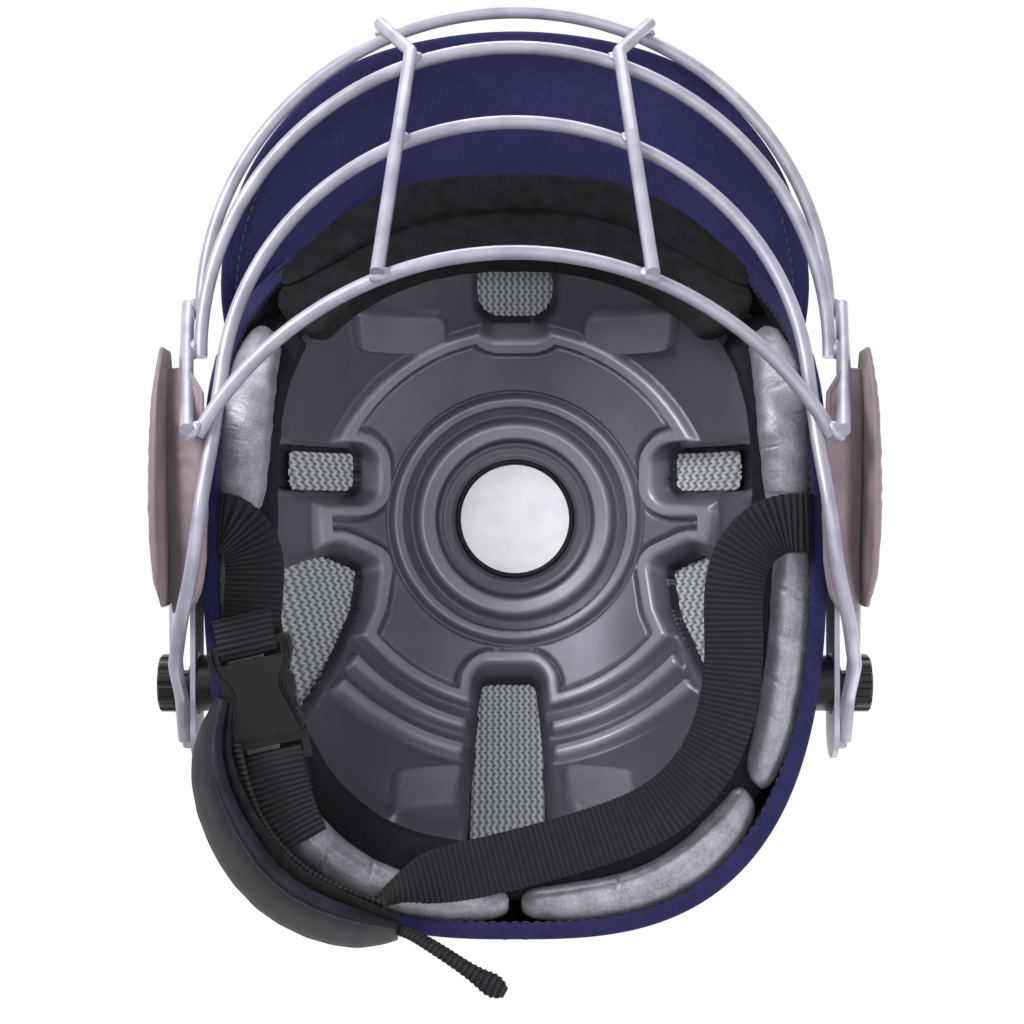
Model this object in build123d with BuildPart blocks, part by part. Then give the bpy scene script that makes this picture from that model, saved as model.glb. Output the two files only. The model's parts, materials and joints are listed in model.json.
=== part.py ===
import os
from math import cos, degrees, pi, radians, sin

from build123d import *

os.makedirs("parts", exist_ok=True)

# Cricket helmet, upright as worn and standing on the lowest wires of its face guard.
# Millimetres, +Z up, the front towards -Y, the wearer's left towards +X.

# Overall form of the cloth-covered dome, measured from the crown axis
crown_y = 17.64
half_width = 109.0
front_length = 134.0
rear_length = 147.0
crown_height = 212.0
widest_height = 80.0
form_floor = 22.0

# Lower edge of the shell: ear level at the sides and the nape, brow level in front
ear_height = 36.5
brow_height = 118.0
edge_rise_start = -28.0
edge_rise_end = -114.0

# Layers from the outside inwards
cloth = 0.8
shell_wall = 3.2
layer_gap = 0.2
liner_depth = 19.0
ridge_depth = 3.0
nape_extra = 7.0
band_depth = 20.0
brow_depth = 27.0

# Heights of the layers above the shell's edge, at the ears and the nape, and at the brow
liner_ear_raise = 38.0
liner_brow_raise = 18.0
band_raise = 17.5
brow_raise = 1.0
brow_end_y = -73.0

# Peak
peak_reach = 186.0
peak_wall = 2.8
peak_root_height = 131.0
peak_fall_share = 0.12
peak_radius = 178.0
peak_side_end = -48.0
peak_half_width = 110.0

# Wire of the face guard, and the gap that its welds fill
wire = 4.75
weld_gap = 0.03

# Thumb screws
screw_y = 57.0
screw_z = 50.0
stud_radius = 2.5
plate_inner_x = 109.6
plate_wall = 1.8

# Chin strap
webbing_width = 20.0
webbing = 1.6
hang_y = 1.0
hang_z = 33.0
rivet_radius = 2.0
rivet_z = 53.0

# Clearances, the overrun of cuts and a length beyond the whole helmet
clearance = 0.3
running_clearance = 0.08
fit_gap = 0.02
overrun = 2.0
reach = 400.0

shell_outside = cloth
shell_inside = cloth + shell_wall
lining_start = shell_inside + layer_gap
groove_face = lining_start + liner_depth
ridge_face = groove_face + ridge_depth

# Frames that share the crown axis: seen from above, from the wearer's left and from behind
plan = Plane(origin=(0, crown_y, 0), x_dir=(1, 0, 0), z_dir=(0, 0, 1))
side_view = Plane(origin=(0, crown_y, 0), x_dir=(0, 1, 0), z_dir=(1, 0, 0))
front_view = Plane(origin=(0, crown_y, 0), x_dir=(1, 0, 0), z_dir=(0, -1, 0))

# Levels of the dome: share of the way up to the crown, share of the width, squareness of the outline
dome_level_shares = [
    (-1.0, 0.955, 2.9),
    (-0.4, 0.988, 2.8),
    (0.0, 1.0, 2.7),
    (0.27, 0.974, 2.6),
    (0.5, 0.894, 2.45),
    (0.69, 0.768, 2.3),
    (0.84, 0.594, 2.15),
    (0.935, 0.401, 2.05),
    (0.984, 0.212, 2.0),
    (0.9985, 0.07, 2.0),
]
outline_points = 20


def squared(angle, square):
    # Point of a rounded square of half side one, at this angle
    c, s = cos(angle), sin(angle)
    return abs(c) ** (2 / square) * (1 if c > 0 else -1), abs(s) ** (2 / square) * (1 if s > 0 else -1)


def level_height(level_share, inset):
    # Height of a level of the dome that lies this far inside the cloth
    if level_share < 0:
        return widest_height + level_share * (widest_height - form_floor)
    return widest_height + level_share * (crown_height - inset - widest_height)


def dome_point(angle, inset, nape_inset, width_share, square):
    # Point of the dome's outline, about the crown axis
    x, y = squared(angle, square)
    length = rear_length - nape_inset if y > 0 else front_length
    return (half_width - inset) * width_share * x, (length - inset) * width_share * y


def dome(inset, nape_inset=0):
    # Solid dome that lies this far inside the outside of the cloth
    with BuildPart() as form:
        for level_share, width_share, square in dome_level_shares:
            angles = [2 * pi * (step + 0.5) / outline_points for step in range(outline_points)]
            points = [dome_point(angle, inset, nape_inset, width_share, square) for angle in angles]
            with BuildSketch(plan.offset(level_height(level_share, inset))):
                with BuildLine():
                    Spline(*points, periodic=True)
                make_face()
        loft()
    return form.part


def edge_share(y):
    # How far the shell's edge has risen from ear level to brow level at this place
    share = (edge_rise_start - y) / (edge_rise_start - edge_rise_end)
    return (1 - cos(pi * min(max(share, 0), 1))) / 2


def edge_height(y, ear_raise=0, brow_raise=0):
    # Height of the shell's edge, or of a line raised above it
    share = edge_share(y)
    return (ear_height + ear_raise) * (1 - share) + (brow_height + brow_raise) * share


edge_steps = 8


def above_edge(ear_raise, brow_raise):
    # Everything above a line that follows the shell's edge
    rise = edge_rise_end - edge_rise_start
    stations = [edge_rise_end - rise * step / edge_steps for step in range(edge_steps + 1)]
    points = [(y, edge_height(y, ear_raise, brow_raise)) for y in stations]
    with BuildPart() as zone:
        with BuildSketch(side_view):
            with BuildLine():
                Spline(*points, tangents=((1, 0), (1, 0)))
                Polyline(
                    points[-1],
                    (reach, points[-1][1]),
                    (reach, reach),
                    (-reach, reach),
                    (-reach, points[0][1]),
                    points[0],
                )
            make_face()
        extrude(amount=reach, both=True)
    return zone.part


# Outline of the peak, as shares of its half width and of its reach ahead of the crown axis
peak_outline_shares = [
    (0.0, 1.0),
    (0.33, 0.975),
    (0.58, 0.915),
    (0.765, 0.812),
    (0.88, 0.71),
    (0.955, 0.59),
    (0.985, 0.45),
    (0.93, 0.258),
]


def peak_sheet(grown):
    # Curved sheet of the peak, thicker and wider all round by this much
    outline = [((peak_half_width + grown) * a, -(peak_reach + grown) * b) for a, b in peak_outline_shares]
    mirrored = [(-x, y) for x, y in reversed(outline[1:])]
    side_x = outline[-1][0]
    with BuildPart() as sheet:
        with BuildSketch(front_view.offset(reach)):
            with Locations((0, peak_root_height - peak_radius - peak_fall_share * (reach - front_length))):
                Circle(peak_radius + peak_wall / 2 + grown)
                Circle(peak_radius - peak_wall / 2 - grown, mode=Mode.SUBTRACT)
        extrude(amount=2 * reach, dir=(0, 1, peak_fall_share))
        with BuildSketch(plan):
            with BuildLine():
                Spline(*mirrored, *outline)
                Polyline(outline[-1], (side_x, peak_side_end), (-side_x, peak_side_end), mirrored[0])
            make_face()
        extrude(amount=reach, mode=Mode.INTERSECT)
        with BuildSketch(plan.offset(ear_height)):
            Rectangle(2 * reach, 2 * reach)
        extrude(amount=reach, mode=Mode.INTERSECT)
    return sheet.part


cloth_form = dome(0)
shell_form = dome(shell_outside)
cavity_form = dome(shell_inside)
lining_form = dome(lining_start)
seat_form = dome(-clearance)
shell_zone = above_edge(0, 0)
peak_core = peak_sheet(0)
peak_wrap = peak_sheet(cloth)

# Holes through both sides of the shell: for the threaded inserts and for the strap rivets
insert_radius = 4.6
insert_axis = Plane(origin=(0, crown_y + screw_y, screw_z), x_dir=(0, 1, 0), z_dir=(1, 0, 0))
rivet_axis = Plane(origin=(0, crown_y + hang_y, rivet_z), x_dir=(0, 1, 0), z_dir=(1, 0, 0))

with BuildPart() as side_holes:
    with BuildSketch(insert_axis):
        Circle(insert_radius)
    extrude(amount=reach, both=True)
    with BuildSketch(rivet_axis):
        Circle(rivet_radius)
    extrude(amount=reach, both=True)

# Stiff moulded shell with its peak
with BuildPart() as outer_shell:
    add(shell_form)
    add(shell_zone, mode=Mode.INTERSECT)
    add(peak_core)
    add(cavity_form, mode=Mode.SUBTRACT)
    add(side_holes.part, mode=Mode.SUBTRACT)
outer_shell.part.label = "outer_shell"
export_step(outer_shell.part, "parts/outer_shell.step")

# Cloth over the dome
with BuildPart() as crown_cloth:
    add(cloth_form)
    add(shell_zone, mode=Mode.INTERSECT)
    add(shell_form, mode=Mode.SUBTRACT)
    add(peak_wrap, mode=Mode.SUBTRACT)
    add(side_holes.part, mode=Mode.SUBTRACT)
crown_cloth.part.label = "crown_cloth"
export_step(crown_cloth.part, "parts/crown_cloth.step")

# Cloth wrapped over and under the peak, up to the dome
with BuildPart() as peak_cloth:
    add(peak_wrap)
    add(peak_core, mode=Mode.SUBTRACT)
    add(shell_form, mode=Mode.SUBTRACT)
peak_cloth.part.label = "peak_cloth"
export_step(peak_cloth.part, "parts/peak_cloth.step")

# The dome with its cloth, down to the shell's edge
with BuildPart() as covered:
    add(cloth_form)
    add(shell_zone, mode=Mode.INTERSECT)

# Binding folded round the lower edge of the shell, behind the peak
binding = 0.9
binding_height = 3.6
binding_front_y = -58.0
with BuildPart() as rim_binding:
    add(dome(-binding))
    add(above_edge(-binding, -binding), mode=Mode.INTERSECT)
    add(above_edge(binding_height, binding_height), mode=Mode.SUBTRACT)
    add(cavity_form, mode=Mode.SUBTRACT)
    with BuildSketch(plan):
        with Locations((0, binding_front_y)):
            Rectangle(2 * reach, reach, align=(Align.CENTER, Align.MIN))
    extrude(amount=reach, mode=Mode.INTERSECT)
    add(covered.part, mode=Mode.SUBTRACT)
    add(peak_wrap, mode=Mode.SUBTRACT)
rim_binding.part.label = "rim_binding"
export_step(rim_binding.part, "parts/rim_binding.step")

# Cloth-covered button where the panels of the cover meet
button_radius = 12.5
button_edge = 1.4
button_rise = 4.2
button_shoulder_share = 0.72
edge_z = crown_height + button_edge
top_z = crown_height + button_rise
shoulder_z = edge_z + (top_z - edge_z) * button_shoulder_share
with BuildPart() as crown_button:
    with BuildSketch(side_view):
        with BuildLine():
            Polyline((0, top_z), (0, crown_height), (button_radius, crown_height), (button_radius, edge_z))
            Spline(
                (button_radius, edge_z),
                (button_radius * button_shoulder_share, shoulder_z),
                (0, top_z),
                tangents=((0, 1), (-1, 0)),
            )
        make_face()
    revolve(axis=Axis((0, crown_y, 0), (0, 0, 1)))
crown_button.part.label = "crown_button"
export_step(crown_button.part, "parts/crown_button.step")

# Vents of the liner in plan, as places of their corners
front_vent_half = 15.0
front_vent_y = -79.0
front_vent_top = -104.0
side_vent_inner = 60.0
side_vent_outer = 87.0
front_side_vent_y = -18.5
front_side_vent_width = 14.5
vent_corner = 4.5
front_vent_corner = 9.0
rear_vent_x = -2.5
rear_vent_top = 63.0
rear_vent_bottom = 122.0
rear_vent_top_half = 9.0
rear_vent_bottom_half = 14.0

# Corners of the left rear vent, as shares of its outer edge and of its length behind the crown axis
side_vent_length = 73.0
rear_side_vent_shares = [
    (0.7, 0.24),
    (0.82, 0.17),
    (1.0, 0.23),
    (1.01, 0.72),
    (0.93, 1.0),
    (0.83, 0.8),
    (0.7, 0.46),
]


def vent_outline(name, grown):
    # Flat outline of one vent, larger all round by this much
    side = -1 if name.endswith("right") else 1
    with BuildSketch() as outline:
        if name == "front":
            with Locations((0, (front_vent_y + front_vent_top) / 2)):
                Rectangle(2 * front_vent_half, front_vent_y - front_vent_top)
            fillet(outline.vertices(), radius=front_vent_corner)
        elif name.startswith("front"):
            with Locations((side * (side_vent_inner + side_vent_outer) / 2, front_side_vent_y)):
                Rectangle(side_vent_outer - side_vent_inner, front_side_vent_width)
            fillet(outline.vertices(), radius=vent_corner)
        elif name == "rear":
            with BuildLine():
                Polyline(
                    (rear_vent_x - rear_vent_top_half, rear_vent_top),
                    (rear_vent_x + rear_vent_top_half, rear_vent_top),
                    (rear_vent_x + rear_vent_bottom_half, rear_vent_bottom),
                    (rear_vent_x - rear_vent_bottom_half, rear_vent_bottom),
                    close=True,
                )
            make_face()
            fillet(outline.vertices(), radius=vent_corner)
        else:
            with BuildLine():
                outer_x = side * side_vent_outer
                Polyline(*[(outer_x * a, side_vent_length * b) for a, b in rear_side_vent_shares], close=True)
            make_face()
            fillet(outline.vertices(), radius=vent_corner)
        if grown:
            offset(amount=grown)
    return outline.sketch


vents = ["front", "front_left", "front_right", "rear_left", "rear_right", "rear"]

# Raised rings and ribs of the liner, as radii about the crown axis
seat_radius = 31.0
seat_drop = 5.2
inner_ring = (33.0, 41.0)
outer_ring = (46.5, 51.0)
field_ring = (73.5, 77.5)
nape_ribs = [(84.0, 88.0), (93.0, 97.0)]
vent_rim_gap = 5.0
vent_rim_width = 4.0
relief_tab_width = 26.0
relief_tab_length = 13.0
tab_x = 33.0
tab_y = 104.0
panel_width = 34.0
panel_length = 15.0
panel_x = 45.0
panel_y = -74.0
nape_rib_start = 30.0
field_limit = 130.0

with BuildSketch() as ridges:
    for inner, outer in reversed(nape_ribs):
        Circle(outer)
        Circle(inner, mode=Mode.SUBTRACT)
    with Locations((0, nape_rib_start)):
        Rectangle(2 * reach, reach, align=(Align.CENTER, Align.MAX), mode=Mode.SUBTRACT)
    with Locations((tab_x, tab_y), (-tab_x, tab_y)):
        Rectangle(relief_tab_width, relief_tab_length)
    with Locations((panel_x, panel_y), (-panel_x, panel_y)):
        Rectangle(panel_width, panel_length)
    for inner, outer in [field_ring, outer_ring, inner_ring]:
        Circle(outer)
        Circle(inner, mode=Mode.SUBTRACT)
    for vent in vents:
        add(vent_outline(vent, vent_rim_gap + vent_rim_width))
    for vent in vents:
        add(vent_outline(vent, vent_rim_gap), mode=Mode.SUBTRACT)

with BuildPart() as hollows:
    add(dome(groove_face, nape_extra))
    with BuildSketch(plan):
        Circle(field_limit)
        add(ridges.sketch, mode=Mode.SUBTRACT)
    extrude(amount=reach, mode=Mode.INTERSECT)

liner_zone = above_edge(liner_ear_raise, liner_brow_raise)
seat_z = crown_height - groove_face - seat_drop

with BuildPart() as bowl:
    add(dome(ridge_face, nape_extra))
    add(hollows.part)
    with BuildSketch(plan.offset(seat_z)):
        Circle(seat_radius)
    extrude(amount=reach, mode=Mode.SUBTRACT)

# Moulded grey liner with its rings, ribs, vents and the flat seat of the label
with BuildPart() as eva_liner:
    add(lining_form)
    add(liner_zone, mode=Mode.INTERSECT)
    add(bowl.part, mode=Mode.SUBTRACT)
    with BuildSketch(plan):
        for vent in vents:
            add(vent_outline(vent, 0))
    extrude(amount=reach, mode=Mode.SUBTRACT)
eva_liner.part.label = "eva_liner"
export_step(eva_liner.part, "parts/eva_liner.step")

# Round label on its seat, left bare
label_radius = 24.5
label_wall = 0.7
label_lip = 1.2
with BuildPart() as crown_label:
    with BuildSketch(plan.offset(seat_z - running_clearance)):
        Circle(label_radius)
    extrude(amount=-label_wall)
    with BuildSketch(plan.offset(seat_z - running_clearance)):
        Circle(label_radius)
        Circle(label_radius - label_lip, mode=Mode.SUBTRACT)
    extrude(amount=-2 * label_wall)
crown_label.part.label = "crown_label"
export_step(crown_label.part, "parts/crown_label.step")

# Spacer mesh behind each vent, held between the walls of the opening
mesh_depth = 6.0
mesh_wall = 3.0
with BuildPart() as mesh_layer:
    add(dome(lining_start + mesh_depth, nape_extra))
    add(dome(lining_start + mesh_depth + mesh_wall, nape_extra), mode=Mode.SUBTRACT)
    add(above_edge(liner_ear_raise + overrun, liner_brow_raise + overrun), mode=Mode.INTERSECT)
for vent in vents:
    with BuildPart() as vent_mesh:
        add(mesh_layer.part)
        with BuildSketch(plan):
            add(vent_outline(vent, -running_clearance))
        extrude(amount=reach, mode=Mode.INTERSECT)
    vent_mesh.part.label = "vent_mesh_" + vent
    export_step(vent_mesh.part, "parts/vent_mesh_" + vent + ".step")

# Felted brow pad inside the front of the shell
with BuildPart() as brow_pad:
    add(lining_form)
    add(dome(lining_start + brow_depth), mode=Mode.SUBTRACT)
    add(above_edge(brow_raise, brow_raise), mode=Mode.INTERSECT)
    add(above_edge(liner_ear_raise - clearance, liner_brow_raise - clearance), mode=Mode.SUBTRACT)
    with BuildSketch(plan):
        with Locations((0, brow_end_y)):
            Rectangle(2 * reach, reach, align=(Align.CENTER, Align.MAX))
    extrude(amount=reach, mode=Mode.INTERSECT)
brow_pad.part.label = "brow_pad"
export_step(brow_pad.part, "parts/brow_pad.step")

def level_at(z, inset):
    # Width share and squareness of the dome at this height
    low_rows = dome_level_shares[:-1]
    high_rows = dome_level_shares[1:]
    for low, high in zip(low_rows, high_rows):
        low_z = level_height(low[0], inset)
        high_z = level_height(high[0], inset)
        if z <= high_z:
            share = (z - low_z) / (high_z - low_z)
            return low[1] + share * (high[1] - low[1]), low[2] + share * (high[2] - low[2])
    return dome_level_shares[-1][1:]


def inside_place(angle, inset, raised):
    # Place along the inside of the shell's edge, about the crown axis
    z = edge_height(0) + raised
    for _ in range(edge_steps):
        x, y = dome_point(angle, inset, 0, *level_at(z, inset))
        z = edge_height(y) + raised
    return x, y, z


# Stuffed rim pads: angles of their ends from the wearer's left towards the nape, and their size
pad_half_width = 7.0
temple_half_width = 8.6
pad_half_height = 7.4
temple_angles = (-0.487, -0.018)
side_angles = (0.03, 0.835)
nape_angles = (0.865, 1.555)
temple_end_shares = [0.35, 0.7, 0.88, 0.98, 1.0, 0.95, 0.66]
rim_end_shares = [0.66, 0.93, 1.0, 1.0, 1.0, 0.93, 0.66]


def rim_pad(angles, half_width_here, end_shares):
    # Stuffed roll along the inside of the shell's edge on the wearer's left, drawn in at both ends
    first, last = angles
    steps = len(end_shares) - 1
    inset = shell_inside + clearance + half_width_here
    raised = pad_half_height + clearance
    with BuildPart() as roll:
        for step, share in enumerate(end_shares):
            angle = first + (last - first) * step / steps
            nudge = (last - first) / steps / 2
            before = Vector(*inside_place(angle - nudge, inset, raised))
            after = Vector(*inside_place(angle + nudge, inset, raised))
            along = (after - before).normalized()
            outward = along.cross(Vector(0, 0, 1)).normalized()
            x, y, z = inside_place(angle, inset, raised)
            with BuildSketch(Plane(origin=(x, crown_y + y, z), x_dir=outward, z_dir=along)):
                Ellipse(half_width_here * share, pad_half_height * share)
        loft()
    return roll.part


rim_pads = {
    "temple_pad": rim_pad(temple_angles, temple_half_width, temple_end_shares),
    "side_pad": rim_pad(side_angles, pad_half_width, rim_end_shares),
    "nape_pad": rim_pad(nape_angles, pad_half_width, rim_end_shares),
}


def export_pair(name, left_part):
    # Writes a piece of the wearer's left side and its mirror image on the right
    left_part.label = name + "_left"
    export_step(left_part, "parts/" + name + "_left.step")
    with BuildPart() as right_side:
        mirror(left_part, about=Plane.YZ)
    right_side.part.label = name + "_right"
    export_step(right_side.part, "parts/" + name + "_right.step")


for pad_name, roll in rim_pads.items():
    export_pair(pad_name, roll)

# Black foam band between the liner and the padded rim
with BuildPart() as foam_band:
    add(lining_form)
    add(dome(lining_start + band_depth, nape_extra), mode=Mode.SUBTRACT)
    add(above_edge(band_raise, band_raise), mode=Mode.INTERSECT)
    add(above_edge(liner_ear_raise - clearance, liner_brow_raise - clearance), mode=Mode.SUBTRACT)
    with BuildSketch(plan):
        with Locations((0, brow_end_y + clearance)):
            Rectangle(2 * reach, reach, align=(Align.CENTER, Align.MIN))
    extrude(amount=reach, mode=Mode.INTERSECT)
    # Room for the rim pads that reach up to it, and hollows for the strap rivets
    add(rim_pads["temple_pad"], mode=Mode.SUBTRACT)
    add(mirror(rim_pads["temple_pad"], about=Plane.YZ), mode=Mode.SUBTRACT)
    with BuildSketch(rivet_axis):
        Rectangle(webbing_width + 2 * overrun, webbing_width + 2 * overrun)
    extrude(amount=reach, both=True, mode=Mode.SUBTRACT)
foam_band.part.label = "foam_band"
export_step(foam_band.part, "parts/foam_band.step")


def wire_along(run):
    # Round wire along a line
    with BuildPart() as rod:
        with BuildSketch(Plane(origin=run @ 0, z_dir=run % 0)):
            Circle(wire / 2)
        sweep(path=run)
    return rod.part


# Places of the face guard's bars about the crown axis: their ends on the wearer's left, and their middle
bar_places = {
    "top_bar": [(113.4, -72.0, 80.0), (0, -189.0, 103.0)],
    "second_bar": [(110.0, -56.6, 55.0), (0, -169.3, 74.0)],
    "third_bar": [(98.0, -47.0, 20.5), (0, -137.0, 45.0)],
    "chin_bar": [(104.3, -27.5, 8.8), (0, -87.2, 6.66)],
}
bar_runs = {}
for bar_name, (end, middle) in bar_places.items():
    with BuildLine(plan) as run:
        ThreePointArc((-end[0], end[1], end[2]), middle, end)
    bar_runs[bar_name] = run.line

for bar_name in ["top_bar", "second_bar", "chin_bar"]:
    with BuildPart() as bar:
        add(wire_along(bar_runs[bar_name]))
    bar.part.label = bar_name
    export_step(bar.part, "parts/" + bar_name + ".step")

# Third bar: its ends run back along the floor and up to the side plates
weld_x = plate_inner_x + plate_wall + wire / 2 + weld_gap
third_side = [
    bar_places["third_bar"][0],
    (99.9, -24.0, 10.0),
    (102.6, -3.0, wire / 2),
    (104.6, 15.0, wire / 2),
    (109.6, 34.0, 8.0),
    (weld_x, 49.0, 23.0),
    (weld_x, 61.0, 37.0),
    (weld_x, 76.0, 45.0),
]
third_radii = [60.0, 50.0, 50.0, 24.0, 24.0, 14.0]
with BuildPart() as third_bar:
    add(wire_along(bar_runs["third_bar"]))
    for side in (-1, 1):
        with BuildLine(plan) as side_run:
            FilletPolyline(*[(side * x, y, z) for x, y, z in third_side], radius=third_radii)
        add(wire_along(side_run.line))
third_bar.part.label = "third_bar"
export_step(third_bar.part, "parts/third_bar.step")

# Struts across the bars: the bars they touch, with the share along each bar, from the top down
center_crossings = [("top_bar", 0.633), ("second_bar", 0.604), ("third_bar", 0.635), ("chin_bar", 0.677)]
side_crossings = [("top_bar", 0.992), ("second_bar", 0.992), ("chin_bar", 0.995)]
center_overruns = (3.4, 2.2)
side_overruns = (5.5, 3.5)
settling_steps = 6


def strut_corners(crossings, overruns, outward):
    # Corners of the axis of a strut that touches these bars on their outer side
    on_bars = [bar_runs[bar_name] @ share for bar_name, share in crossings]
    corners = list(on_bars)
    last = len(corners) - 1
    for _ in range(settling_steps):
        turned = []
        for step in range(last + 1):
            here, after = max(step, 1), min(step + 1, last)
            arriving = (corners[here] - corners[here - 1]).normalized()
            leaving = (corners[after] - corners[after - 1]).normalized()
            turned.append(arriving + leaving)
        for step, (bar_name, share) in enumerate(crossings):
            across = (bar_runs[bar_name] % share).cross(turned[step]).normalized()
            if across.dot(outward) < 0:
                across = -across
            corners[step] = on_bars[step] + across * ((wire + weld_gap) * 2 / turned[step].length)
    start = corners[0] + (corners[0] - corners[1]).normalized() * overruns[0]
    end = corners[last] + (corners[last] - corners[last - 1]).normalized() * overruns[1]
    return [start, *corners[1:last], end]


center_corners = strut_corners(center_crossings, center_overruns, Vector(0, -1, -1))
side_corners = strut_corners(side_crossings, side_overruns, Vector(1, 0, 0))
for strut_name, corners in [("center_strut", center_corners), ("side_strut", side_corners)]:
    with BuildLine() as strut_run:
        FilletPolyline(*corners, radius=wire + weld_gap)
    export_pair(strut_name, wire_along(strut_run.line))

# Wire from the side strut back over the ear to the side plate
upper_side = [
    (118.4, -66.0, 78.8),
    (121.0, -20.0, 78.0),
    (121.0, 30.0, 69.0),
    (120.0, 52.0, 64.5),
    (116.0, 70.0, 62.0),
    (weld_x, 79.0, 55.0),
]
upper_radii = [60.0, 60.0, 30.0, 10.0]
with BuildLine(plan) as upper_run:
    FilletPolyline(*upper_side, radius=upper_radii)
export_pair("upper_side_wire", wire_along(upper_run.line))

# Side plate with the slot in which the washer's key slides
plate_front_y = 12.0
plate_rear_y = 83.0
plate_height = 20.0
key_length = 9.0
key_height = 7.8
slide_travel = 6.0
slot_height = key_height + 2 * running_clearance
slot_length = key_length + 2 * (slide_travel + running_clearance)
plate_middle_y = (plate_front_y + plate_rear_y) / 2
with BuildPart() as side_plate:
    with BuildSketch(insert_axis.offset(plate_inner_x)):
        with Locations((plate_middle_y - screw_y, 0)):
            SlotOverall(plate_rear_y - plate_front_y, plate_height)
        Rectangle(slot_length, slot_height, mode=Mode.SUBTRACT)
    extrude(amount=plate_wall)
export_pair("side_plate", side_plate.part)

# Spacer on the stud between the cloth and the side plate
spacer_radius = 9.8
spacer_start_x = 99.0
sliding_gap = 0.1
bore_radius = stud_radius + running_clearance
with BuildPart() as spacer:
    with BuildSketch(insert_axis.offset(spacer_start_x)):
        Circle(spacer_radius)
        Circle(bore_radius, mode=Mode.SUBTRACT)
    extrude(amount=plate_inner_x - sliding_gap - spacer_start_x)
    add(seat_form, mode=Mode.SUBTRACT)
export_pair("spacer", spacer.part)

# Threaded insert moulded into the shell
with BuildPart() as thread_insert:
    with BuildSketch(insert_axis.offset(spacer_start_x)):
        Circle(insert_radius - fit_gap)
        Circle(bore_radius, mode=Mode.SUBTRACT)
    extrude(amount=plate_inner_x - spacer_start_x)
    add(cloth_form, mode=Mode.INTERSECT)
    add(cavity_form, mode=Mode.SUBTRACT)
export_pair("thread_insert", thread_insert.part)

# Clamp washer: a disc outside the plate, with a key that slides in the plate's slot
washer_radius = 6.5
washer_wall = 1.2
washer_x = plate_inner_x + plate_wall + running_clearance
with BuildPart() as clamp_washer:
    with BuildSketch(insert_axis.offset(washer_x)):
        Circle(washer_radius)
    extrude(amount=washer_wall)
    with BuildSketch(insert_axis.offset(washer_x)):
        Rectangle(key_length, key_height)
    extrude(amount=sliding_gap - plate_wall)
    with BuildSketch(insert_axis):
        Circle(bore_radius)
    extrude(amount=reach, mode=Mode.SUBTRACT)
export_pair("clamp_washer", clamp_washer.part)

# Thumb knob with a fluted head
hub_radius = 4.5
hub_length = 4.15
head_radius = 10.0
head_length = 6.0
head_chamfer = 0.7
flutes = 12
flute_radius = 1.5
flute_place = 10.5
hub_x = washer_x + washer_wall + sliding_gap
stud_start_x = 100.9
stud_end_x = 118.2
with BuildPart() as thumb_knob:
    with BuildSketch(insert_axis.offset(hub_x + hub_length)):
        Circle(head_radius)
    extrude(amount=head_length)
    chamfer(thumb_knob.edges().filter_by(GeomType.CIRCLE), length=head_chamfer)
    with BuildSketch(insert_axis.offset(hub_x + hub_length)):
        with PolarLocations(flute_place, flutes):
            Circle(flute_radius)
    extrude(amount=head_length, mode=Mode.SUBTRACT)
    with BuildSketch(insert_axis.offset(hub_x)):
        Circle(hub_radius)
    extrude(amount=hub_length)
    with BuildSketch(insert_axis):
        Circle(stud_radius + fit_gap)
    extrude(amount=stud_end_x + fit_gap, mode=Mode.SUBTRACT)
export_pair("thumb_knob", thumb_knob.part)

# Threaded stud of the knob
with BuildPart() as screw_stud:
    with BuildSketch(insert_axis.offset(stud_start_x)):
        Circle(stud_radius)
    extrude(amount=stud_end_x - stud_start_x)
export_pair("screw_stud", screw_stud.part)


def lobe(stations):
    # Stuffed lobe through oval sections: x, y, z of each middle, its half thickness and its half height
    with BuildPart() as form:
        for x, y, z, half_thickness, half_height in stations:
            with BuildSketch(Plane(origin=(x, crown_y + y, z), x_dir=(1, 0, 0), z_dir=(0, 1, 0))):
                Ellipse(half_thickness, half_height)
        loft()
    return form.part


# Ear pads: a lobe against the wires and a flatter one stitched outside it
inner_ear_stations = [
    (118.2, -52.0, 48.0, 1.2, 8.0),
    (116.4, -42.0, 42.0, 2.6, 19.0),
    (114.0, -24.0, 38.0, 3.9, 25.0),
    (113.6, -4.0, 38.0, 3.9, 26.0),
    (114.2, 14.0, 38.0, 2.6, 24.0),
    (114.8, 26.0, 37.0, 2.0, 17.0),
    (115.2, 32.0, 36.0, 1.0, 8.0),
]
outer_ear_stations = [
    (120.9, -52.0, 47.0, 1.0, 8.0),
    (121.0, -42.0, 42.0, 1.8, 18.0),
    (120.8, -24.0, 38.0, 2.6, 24.0),
    (120.7, -4.0, 38.0, 2.8, 25.0),
    (120.3, 14.0, 38.0, 2.6, 22.0),
    (119.8, 24.0, 37.0, 1.8, 15.0),
    (119.4, 29.0, 36.0, 0.9, 7.0),
]
export_pair("ear_pad", lobe(inner_ear_stations))
export_pair("ear_pad_cover", lobe(outer_ear_stations))

# Strap tab inside the shell, with its rivet
tab_inner_x = 99.9
tab_top_z = 62.0
strap_gap = 0.3
tab_length = tab_top_z - hang_z - webbing / 2 - strap_gap
rivet_head_radius = 6.0
rivet_head_wall = 1.6
rivet_cap_radius = 4.5
rivet_end_x = 108.5
with BuildPart() as strap_tab:
    with BuildSketch(rivet_axis.offset(tab_inner_x)):
        with Locations((0, tab_top_z - rivet_z)):
            Rectangle(webbing_width, tab_length, align=(Align.CENTER, Align.MAX))
        Circle(rivet_radius, mode=Mode.SUBTRACT)
    extrude(amount=webbing)
export_pair("strap_tab", strap_tab.part)

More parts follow.
